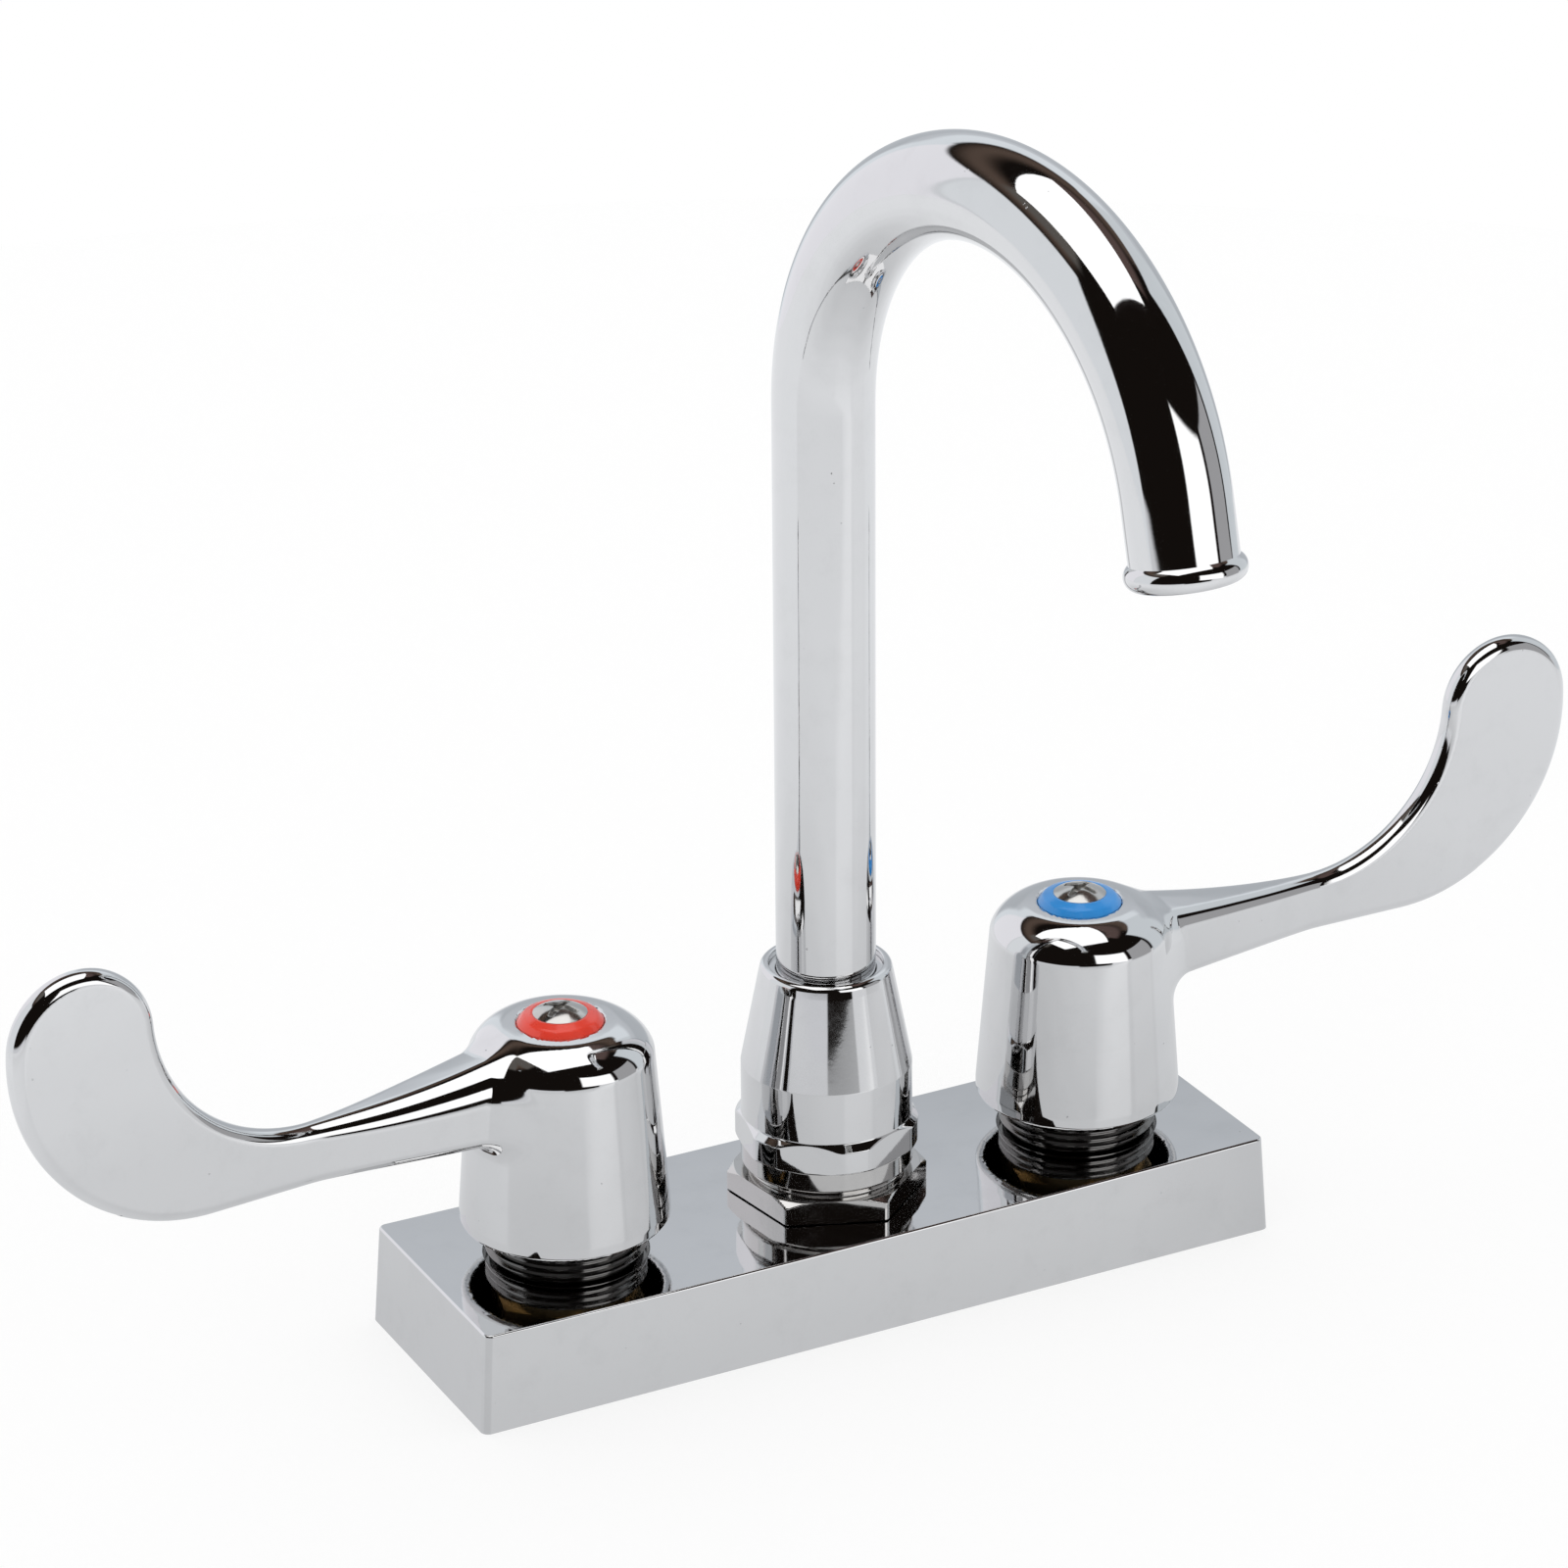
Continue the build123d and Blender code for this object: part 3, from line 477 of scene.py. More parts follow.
@dataclass
class Handle:
    """The wrist blade handle as a distance field, its hub on the Z axis and its blade along +X.

    Lengths are millimetres and angles degrees. The rolls that lead from the hub's wall to its cap
    hold the slope at which each starts and its radius.
    """

    mouth: float = 24.6
    mouth_edge: float = 0.8
    lip: float = 26.8
    wall: float = 18.15
    taper: float = 2.15 / 26.2
    crown: float = 61.45
    cap: float = 9.3
    rolls: tuple[Point, ...] = ((2.5, 4.5), (18.0, 8.9), (45.0, 7.5), (68.0, 3.0))
    past_axis: float = -10.0
    hollow_corners: tuple[Corner, ...] = (
        (-10, 20, 0), (16.6, 20, 0), (16.6, 26.8, 0), (14.88, 46, 1.5), (8.5, 46, 1.0), (8.5, 38.5, 0.5),
        (4.35, 38.5, 0), (4.35, 55, 0), (2.05, 55, 0), (2.05, 60.7, 0), (7.45, 60.7, 0), (7.45, 70, 0),
        (-10, 70, 0))
    hollow_edge: float = 0.35
    arm_start: float = -3.0
    arm_bottom: float = 45.3
    arm_drop: float = 0.9
    arm_level: float = 20.0
    arm_top: float = 55.9
    arm_limit: float = 60.6
    arm_limit_end: float = 14.0
    rise: float = 180.0
    lower_bend: float = 67.6
    upper_bend: float = 48.4
    tip: Point = (89.0, 81.7)
    tip_radius: float = 12.8
    half: float = 2.4
    edge: float = 2.2
    blade_start: float = 50.0
    swell: float = 0.16
    swell_run: float = 5.0
    back_roll: float = 0.11
    front_roll: float = 0.015
    roll_heights: Point = (46.0, 54.0)
    lean: float = 10.0
    lean_run: float = 34.0
    lean_place: float = 0.8
    lean_width: float = 12.0
    lean_above: float = 50.0
    crease: float = 0.3
    fillet: float = 4.0
    fillet_loss: float = 2.8
    fillet_heights: Point = (52.0, 60.0)
    cell: float = 0.55
    block: int = 6
    box: tuple[Corner, Corner] = ((-19.5, -19.5, 23.5), (103.0, 19.5, 96.0))

    def __post_init__(self) -> None:
        """Draw the outlines that the field is made of."""
        self.hub = self.hub_outline()
        self.hollow = Outline.rounded(self.hollow_corners)
        self.lever = self.lever_outline()

    def hub_outline(self) -> Outline:
        """Closed outline of the filled hub, run past the axis.

        Returns:
            The outline in distance and height.
        """
        slope = math.radians(self.rolls[0][0])
        flat = self.cap / math.sin(slope)
        far = math.acos(self.past_axis / flat)
        low = self.crown - flat
        pieces: list[Run | Arc] = [Arc((0.0, low), flat, math.pi / 2 - slope, far - math.pi / 2 + slope)]
        place = (self.cap, low + flat * math.cos(slope))
        ends = [start for start, _ in self.rolls[1:]] + [90.0 - math.degrees(math.atan(self.taper))]
        for (start, radius), end in zip(self.rolls, ends):
            begin, stop = math.radians(90.0 - start), math.radians(90.0 - end)
            centre = (place[0] - radius * math.cos(begin), place[1] - radius * math.sin(begin))
            arc = Arc(centre, radius, stop, begin - stop)
            place = arc.point(stop)
            pieces.insert(0, arc)
        corner = self.mouth_edge
        return Outline((
            Run((self.past_axis, self.mouth), (self.wall - corner, self.mouth)),
            Arc((self.wall - corner, self.mouth + corner), corner, -math.pi / 2, math.pi / 2),
            Run((self.wall, self.mouth + corner), (self.wall, self.lip)),
            Run((self.wall, self.lip), place),
            *pieces,
            Run((self.past_axis, low + flat * math.sin(far)), (self.past_axis, self.mouth)),
        ))

    def lever_outline(self) -> Outline:
        """Closed outline of the arm and the blade seen from the side.

        Returns:
            The outline in reach and height.
        """
        tip_x, tip_z = self.tip
        outer_x, inner_x, start = self.lower_bend, self.upper_bend, self.arm_start
        level_start = outer_x - self.arm_level

        def centre(place: float, level: float, offset: float) -> Point:
            """Centre of the bend that leaves a level line at a place and meets the tip's circle.

            Args:
                place: Where the bend starts.
                level: Height of the level line.
                offset: The tip's radius, negative for the upper bend.

            Returns:
                The centre in reach and height.
            """
            reach = level + offset
            return place, ((tip_x - place) ** 2 + tip_z**2 - reach**2) / (2 * (tip_z - reach))

        outer = centre(outer_x, self.arm_bottom, self.tip_radius)
        inner = centre(inner_x, self.arm_top, -self.tip_radius)
        to_outer = math.atan2(tip_z - outer[1], tip_x - outer[0])
        to_inner = math.atan2(tip_z - inner[1], tip_x - inner[0])
        bottom = self.arm_bottom - self.arm_drop
        spread = (start - inner_x) / self.rise
        sweep = math.asin(-spread)
        return Outline((
            Run((start, bottom), (level_start, self.arm_bottom)),
            Run((level_start, self.arm_bottom), (outer_x, self.arm_bottom)),
            Arc(outer, outer[1] - self.arm_bottom, -math.pi / 2, to_outer + math.pi / 2),
            Arc(self.tip, self.tip_radius, to_outer, to_inner + math.pi - to_outer),
            Arc(inner, inner[1] - self.arm_top, to_inner, -math.pi / 2 - to_inner),
            Arc((inner_x, self.arm_top + self.rise), self.rise, -math.pi / 2, -sweep),
            Run((start, self.arm_top + self.rise * (1 - math.cos(sweep))), (start, bottom)),
        ))

    def field(self, points: np.ndarray) -> np.ndarray:
        """Signed distance to the handle's surface.

        Args:
            points: Places to test.

        Returns:
            The distances, negative inside.
        """
        x, y, z = points.T
        radius = np.hypot(x, y)
        hub = self.hub.signed(radius, z)
        to_end = np.maximum(self.blade_start - x, 0)
        half = self.half + self.swell * to_end**2 / (to_end + self.swell_run)
        by_side = np.where(y > 0, self.back_roll, self.front_roll)
        roll = self.edge + by_side * to_end * eased(z, *self.roll_heights)
        limit = np.where(x < self.arm_limit_end, z - self.arm_limit, -np.inf)
        side = np.maximum(self.lever.signed(x, z), limit)
        lean = math.radians(self.lean) * np.clip(to_end / self.lean_run, 0, 1) ** 2
        back = side * np.cos(lean) + np.minimum(self.lean_place - y, self.lean_width) * np.sin(lean)
        gap = np.maximum(self.crease - np.abs(back - side), 0)
        leant = np.maximum(back, side) + gap * gap / (4 * self.crease)
        top = np.where(z > self.lean_above, leant, side)
        lever = round_overlap(np.abs(y) - half, top, roll)
        whole = round_union(hub, lever, self.fillet - self.fillet_loss * eased(z, *self.fillet_heights))
        return round_overlap(whole, -self.hollow.signed(radius, z), self.hollow_edge)

    def skin(self) -> Skin:
        """Mesh the field by surface nets and draw each point onto the exact surface.

        Returns:
            The handle's skin.
        """
        low, high = (np.array(corner) for corner in self.box)
        block = self.block
        count = np.ceil((high - low) / (self.cell * block)).astype(int)
        blocks = np.stack(np.meshgrid(*(np.arange(n) for n in count), indexing="ij"), -1).reshape(-1, 3)
        middles = low + (blocks + 0.5) * block * self.cell
        half_diagonal, slack = 0.95, 0.6
        blocks = blocks[np.abs(self.field(middles)) < block * self.cell * half_diagonal + slack]
        span = np.arange(block + 1)
        local = np.stack(np.meshgrid(span, span, span, indexing="ij"), -1)
        nodes = blocks[:, None, None, None, :] * block + local[None]
        values = self.field((low + nodes * self.cell).reshape(-1, 3)).reshape(nodes.shape[:-1])
        solid = values < 0
        size = count * block + 1

        def number(cells: np.ndarray) -> np.ndarray:
            """One number for each cell of the whole box."""
            return (cells[..., 0] * size[1] + cells[..., 1]) * size[2] + cells[..., 2]

        offsets = [(a, b, c) for a in (0, 1) for b in (0, 1) for c in (0, 1)]
        corners = np.stack([solid[:, a:block + a, b:block + b, c:block + c] for a, b, c in offsets], -1)
        active = corners.any(-1) & ~corners.all(-1)
        cells = nodes[:, :block, :block, :block][active]
        points = low + (cells + 0.5) * self.cell
        keys = number(cells)
        order = np.argsort(keys)
        keys, points = keys[order], points[order]
        faces = []
        for axis in range(3):
            ahead = [slice(0, block)] * 3
            ahead[axis] = slice(1, block + 1)
            here = solid[:, :block, :block, :block]
            there = solid[(slice(None), *ahead)]
            crossing = here != there
            owner = nodes[:, :block, :block, :block][crossing]
            one, two = np.eye(3, dtype=int)[(axis + 1) % 3], np.eye(3, dtype=int)[(axis + 2) % 3]
            round_edge = (owner, owner - one, owner - one - two, owner - two)
            ring = np.stack([number(cell) for cell in round_edge], 1)
            spots = np.searchsorted(keys, ring)
            flip = ~here[crossing]
            spots[flip] = spots[flip][:, ::-1]
            faces.append(spots)
        rounds, least_slope, longest_move = 5, 0.2, 0.4
        for _ in range(rounds):
            value, slope = self.gradient(points)
            steep = np.maximum((slope * slope).sum(1), least_slope)
            points = points - (np.clip(value, -longest_move, longest_move) / steep)[:, None] * slope
        _, slope = self.gradient(points)
        normals = slope / np.linalg.norm(slope, axis=1)[:, None]
        quads = np.concatenate(faces)
        return Skin(points, [tuple(face) for face in quads.tolist()], normals[quads.reshape(-1)])

    def gradient(self, points: np.ndarray) -> tuple[np.ndarray, np.ndarray]:
        """The field and its slope.

        Args:
            points: Places to test.

        Returns:
            The values and the slopes.
        """
        probe = 0.01
        slope = np.stack([(self.field(points + probe * way) - self.field(points - probe * way)) / (2 * probe)
                          for way in np.eye(3)], 1)
        return self.field(points), slope


@dataclass
class Cover:
    """The drafted base shell with its rounded edges and three holes."""

    length: float = 155.2
    width: float = 46.6
    height: float = 18.15
    dish: float = 0.5
    ceiling: float = 16.1
    end_draft: float = 1.23
    side_draft: float = 0.65
    corner: float = 1.5
    edge: float = 0.42
    wall: float = 2.5
    neck_hole: float = 14.25
    adapter_hole: float = 9.8
    hole_edge: float = 0.25
    least_corner: float = 0.3
    edge_rows: int = 7
    hole_edge_rows: int = 4
    corner_points: int = 9
    side_points: int = 24
    hole_points: int = 72

    def ring(self, level: float, inset: float) -> tuple[np.ndarray, np.ndarray]:
        """Rounded rectangle at a height, anticlockwise from above.

        Args:
            level: The height.
            inset: Distance inside the drafted outer wall.

        Returns:
            The points and the outward unit vectors.
        """
        share = level / self.height
        half_x = self.length / 2 - self.end_draft * share - inset
        half_y = self.width / 2 - self.side_draft * share - inset
        radius = max(self.corner - inset, self.least_corner)
        points, outward = [], []
        for quarter, (sx, sy) in enumerate(((1, 1), (-1, 1), (-1, -1), (1, -1))):
            turn = math.pi / 2 * quarter + np.linspace(0, math.pi / 2, self.corner_points)
            way = np.stack([np.cos(turn), np.sin(turn), 0 * turn], 1)
            points.append(np.array([sx * (half_x - radius), sy * (half_y - radius), level]) + radius * way)
            outward.append(way)
            if sx == sy:
                side = np.linspace(1, -1, self.side_points + 2)[1:-1, None] * sx * (half_x - radius)
                points.append(side * [1, 0, 0] + [0, sy * half_y, level])
                outward.append(np.repeat([[0, sy, 0]], len(side), axis=0))
        return np.concatenate(points), np.concatenate(outward)

    def circle(self, place: float, radius: float, level: float) -> tuple[np.ndarray, np.ndarray]:
        """Circle at a height, clockwise from above.

        Args:
            place: Its centre along X.
            radius: Its radius.
            level: The height.

        Returns:
            The points and the unit vectors towards the centre.
        """
        turn = -np.linspace(0, 2 * math.pi, self.hole_points, endpoint=False)
        way = np.stack([np.cos(turn), np.sin(turn), 0 * turn], 1)
        return np.array([place, 0, level]) + radius * way, -way

    def skin(self) -> Skin:
        """Build the closed shell.

        Returns:
            The cover's skin.
        """
        rows: list[np.ndarray] = []
        faces: list[tuple[int, ...]] = []
        normals: list[np.ndarray] = []
        up = np.array([0.0, 0.0, 1.0])
        reach = (self.length / 2) ** 2

        def row(points: np.ndarray, dished: bool = False) -> np.ndarray:
            """Keep a row of points.

            Args:
                points: The points.
                dished: Whether they lie in the dish of the top.

            Returns:
                The points' numbers.
            """
            first = sum(len(done) for done in rows)
            if dished:
                points = points - up * self.dish * (1 - points[:, :1] ** 2 / reach)
            rows.append(points)
            return np.arange(first, first + len(points))

        def strip(low: np.ndarray, high: np.ndarray, low_way: np.ndarray, high_way: np.ndarray) -> None:
            """Join two closed rows with faces.

            Args:
                low: Numbers of the first row.
                high: Numbers of the second row.
                low_way: Normals along the first row.
                high_way: Normals along the second row.
            """
            for here in range(len(low)):
                there = (here + 1) % len(low)
                faces.append((int(low[here]), int(low[there]), int(high[there]), int(high[here])))
                normals.append(np.stack([low_way[here], low_way[there], high_way[there], high_way[here]]))

        def sheet(loops: list[np.ndarray], way: np.ndarray) -> None:
            """Fill a level face that has holes.

            Args:
                loops: Numbers of the outer row and of each hole's row.
                way: The side that the face shows.
            """
            order = np.concatenate(loops)
            places = np.concatenate(rows)
            edges = [[Vector(places[index]) for index in loop] for loop in loops]
            for triangle in tessellate_polygon(edges):
                corners = [int(order[index]) for index in triangle]
                a, b, c = (places[index] for index in corners)
                if np.cross(b - a, c - a) @ way < 0:
                    corners.reverse()
                faces.append(tuple(corners))
                lean = np.zeros((3, 3))
                lean[:, 0] = -2 * self.dish / reach * places[corners, 0] * max(way[2], 0)
                normals.append(way + lean)

        foot, out = self.ring(0.0, 0.0)
        tilt = np.abs(out[:, :1]) * self.end_draft / self.height
        tilt = tilt + np.abs(out[:, 1:2]) * self.side_draft / self.height
        wall_way = out + tilt * up
        wall_way /= np.linalg.norm(wall_way, axis=1)[:, None]
        low, low_way = row(foot), wall_way
        outer_foot = low
        for angle in np.linspace(0, math.pi / 2, self.edge_rows):
            level = self.height - self.edge * (1 - math.sin(angle))
            high = row(self.ring(level, self.edge * (1 - math.cos(angle)))[0], True)
            way = wall_way * math.cos(angle) + up * math.sin(angle)
            way /= np.linalg.norm(way, axis=1)[:, None]
            strip(low, high, low_way, way)
            low, low_way = high, way
        tops, ceilings = [low], []
        inner_top = row(self.ring(self.ceiling, self.wall)[0])
        inner_foot = row(self.ring(0.0, self.wall)[0])
        strip(inner_top, inner_foot, -out, -out)
        down = np.repeat([-up], len(out), axis=0)
        strip(inner_foot, outer_foot, down, down)
        holes = ((-VALVE_X, self.neck_hole), (0.0, self.adapter_hole), (VALVE_X, self.neck_hole))
        for place, radius in holes:
            points, way = self.circle(place, radius, self.ceiling)
            low, low_way = row(points), way
            ceilings.append(low)
            for angle in np.linspace(0, math.pi / 2, self.hole_edge_rows):
                level = self.height - self.hole_edge * (1 - math.sin(angle))
                wider = radius + self.hole_edge * (1 - math.cos(angle))
                high = row(self.circle(place, wider, level)[0], True)
                high_way = way * math.cos(angle) + up * math.sin(angle)
                strip(low, high, low_way, high_way)
                low, low_way = high, high_way
            tops.append(low)
        sheet(tops, up)
        sheet([inner_top, *ceilings], -up)
        return Skin(np.concatenate(rows), faces, np.concatenate(normals))

    def dress(self, shop: "Workshop") -> None:
        """Add the cover in polished chrome."""
        shop.add("base_cover", self.skin(), Finish.POLISHED_CHROME, "root", "deck_cover")


@dataclass
class Screw:
    """An oval head screw with a tapered cross recess, its axis on Z."""

    radius: float = 4.65
    rim: float = 62.9
    dome: float = 1.3
    seat: float = 60.7
    shank: float = 2.0
    foot: float = 48.4
    reach: float = 3.5
    half_width: float = 0.85
    depth: float = 1.7
    wings: tuple[float, ...] = (30.0, 120.0, 210.0, 300.0)
    wing_taper: float = 0.08
    wing_side: float = 0.3
    wing_end: float = 0.9
    wing_back: float = 0.4
    floor_rise: float = 0.12
    rim_edge: float = 0.15
    first_ring: float = 0.12
    rim_ring: float = 0.1
    rings: int = 44
    turns: int = 144

    def height(self, x: np.ndarray, y: np.ndarray) -> np.ndarray:
        """Height of the head's face with its recess.

        Args:
            x: First coordinates.
            y: Second coordinates.

        Returns:
            The heights.
        """
        curve = (self.radius**2 + self.dome**2) / (2 * self.dome)
        level = self.rim + self.dome - curve + np.sqrt(curve**2 - x * x - y * y)
        deep = np.zeros(x.shape)
        for wing in self.wings:
            angle = math.radians(wing)
            along = x * math.cos(angle) + y * math.sin(angle)
            across = np.abs(-x * math.sin(angle) + y * math.cos(angle))
            wide = self.half_width - self.wing_taper * np.maximum(along, 0)
            inside = 1 - eased(across, wide - self.wing_side, wide)
            inside = inside * (1 - eased(along, self.reach - self.wing_end, self.reach))
            floor = 1 - self.floor_rise * np.maximum(along, 0)
            deep = np.maximum(deep, np.where(along > -self.wing_back, inside, 0) * floor)
        return level - self.depth * deep

    def skin(self) -> Skin:
        """Build the closed screw.

        Returns:
            The screw's skin.
        """
        turns = self.turns
        face = np.linspace(self.first_ring, self.radius - 2 * self.rim_ring, self.rings)
        radii = np.concatenate([face, [self.radius - self.rim_ring, self.radius]])
        angle = np.linspace(0, 2 * math.pi, turns, endpoint=False)
        cosine, sine = np.cos(angle), np.sin(angle)
        probe, just_inside = 0.02, 0.9999
        points = [np.array([[0.0, 0.0, float(self.height(np.zeros(1), np.zeros(1))[0])]])]
        ways = [np.array([[0.0, 0.0, 1.0]])]
        for radius in radii:
            x, y = radius * cosine, radius * sine
            inner = min(radius, self.radius - probe)
            px, py = inner * cosine, inner * sine
            slope_x = (self.height(px + probe / 2, py) - self.height(px - probe / 2, py)) / probe
            slope_y = (self.height(px, py + probe / 2) - self.height(px, py - probe / 2)) / probe
            points.append(np.stack([x, y, self.height(x * just_inside, y * just_inside)], 1))
            way = np.stack([-slope_x, -slope_y, 1 + 0 * x], 1)
            ways.append(way / np.linalg.norm(way, axis=1)[:, None])
        cone = math.atan2(self.radius - self.shank, self.rim - self.seat)
        lower = (
            (self.radius, self.rim - self.rim_edge, (1.0, 0.0)),
            (self.shank, self.seat, (math.cos(cone), -math.sin(cone))),
            (self.shank, self.foot, (1.0, 0.0)),
        )
        for radius, level, (out, lift) in lower:
            points.append(np.stack([radius * cosine, radius * sine, level + 0 * angle], 1))
            ways.append(np.stack([out * cosine, out * sine, lift + 0 * angle], 1))
        points.append(np.array([[0.0, 0.0, self.foot]]))
        faces: list[tuple[int, ...]] = []
        normals: list[np.ndarray] = []
        count = len(points) - 2
        for ring in range(count - 1):
            low, high = 1 + ring * turns, 1 + (ring + 1) * turns
            one, two = ways[ring + 1], ways[ring + 2]
            if ring >= len(radii) - 1:
                one = two
            for here in range(turns):
                there = (here + 1) % turns
                faces.append((low + here, high + here, high + there, low + there))
                normals.append(np.stack([one[here], two[here], two[there], one[there]]))
        last = 1 + (count - 1) * turns
        down = np.array([0.0, 0.0, -1.0])
        for here in range(turns):
            there = (here + 1) % turns
            faces.append((0, 1 + here, 1 + there))
            normals.append(np.stack([ways[0][0], ways[1][here], ways[1][there]]))
            faces.append((last + turns, last + there, last + here))
            normals.append(np.stack([down, down, down]))
        return Skin(np.concatenate(points), faces, np.concatenate(normals))


class Shader:
    """A short way to lay out a node tree from left to right."""

    spacing = 180

    def __init__(self, tree: bpy.types.NodeTree) -> None:
        """Keep the tree that nodes are added to."""
        self.tree = tree
        self.column = 0

    def node(self, kind: str, **settings: object) -> bpy.types.Node:
        """Add a node.

        Args:
            kind: Blender's name for the node type.
            settings: Attributes, or inputs by name, with spaces as underscores.

        Returns:
            The new node.
        """
        made = self.tree.nodes.new(kind)
        made.location = (self.column * self.spacing, 0)
        self.column += 1
        for key, value in settings.items():
            if hasattr(made, key):
                setattr(made, key, value)
            else:
                self.feed(made, key.replace("_", " "), value)
        return made

    def feed(self, node: bpy.types.Node, socket: str | int, value: object) -> None:
        """Link a socket or set its value.

        Args:
            node: Node that owns the input.
            socket: The input's name or number.
            value: An output socket, a number or a colour.
        """
        target = node.inputs[socket]
        if isinstance(value, bpy.types.NodeSocket):
            self.tree.links.new(value, target)
        else:
            target.default_value = value

    def math(self, operation: str, first: object, second: object = 0.0) -> bpy.types.NodeSocket:
        """One arithmetic step.

        Args:
            operation: Blender's name for it.
            first: Left operand.
            second: Right operand.

        Returns:
            The result's socket.
        """
        made = self.node("ShaderNodeMath", operation=operation)
        self.feed(made, 0, first)
        self.feed(made, 1, second)
        return made.outputs[0]

    def ramp(self, value: object, low: float, high: float, start: float = 0.0,
             end: float = 1.0) -> bpy.types.NodeSocket:
        """Map a range smoothly onto another.

        Args:
            value: Value to map.
            low: Where the range starts.
            high: Where it ends.
            start: Result at the start.
            end: Result at the end.

        Returns:
            The mapped value's socket.
        """
        made = self.node("ShaderNodeMapRange", interpolation_type="SMOOTHSTEP")
        sockets = ("Value", "From Min", "From Max", "To Min", "To Max")
        for socket, item in zip(sockets, (value, low, high, start, end)):
            self.feed(made, socket, item)
        return made.outputs["Result"]

    def mix(self, factor: object, first: object, second: object) -> bpy.types.NodeSocket:
        """Blend two colours.

        Args:
            factor: Share of the second colour.
            first: Colour at 0.
            second: Colour at 1.

        Returns:
            The blended colour's socket.
        """
        made = self.node("ShaderNodeMix", data_type="RGBA")
        self.feed(made, 0, factor)
        for index, item in ((6, first), (7, second)):
            self.feed(made, index, item if isinstance(item, bpy.types.NodeSocket) else (*item[:3], 1.0))
        return made.outputs[2]

    def noise(self, place: object, scale: float, detail: float = 2.0,
              roughness: float = 0.5) -> bpy.types.NodeSocket:
        """Cloudy noise from 0 to 1.

        Args:
            place: Coordinates, in metres.
            scale: Cells in a metre.
            detail: Number of finer layers.
            roughness: Strength of the finer layers.

        Returns:
            The noise's socket.
        """
        made = self.node("ShaderNodeTexNoise", Scale=scale, Detail=detail, Roughness=roughness)
        self.feed(made, "Vector", place)
        return made.outputs["Fac"]


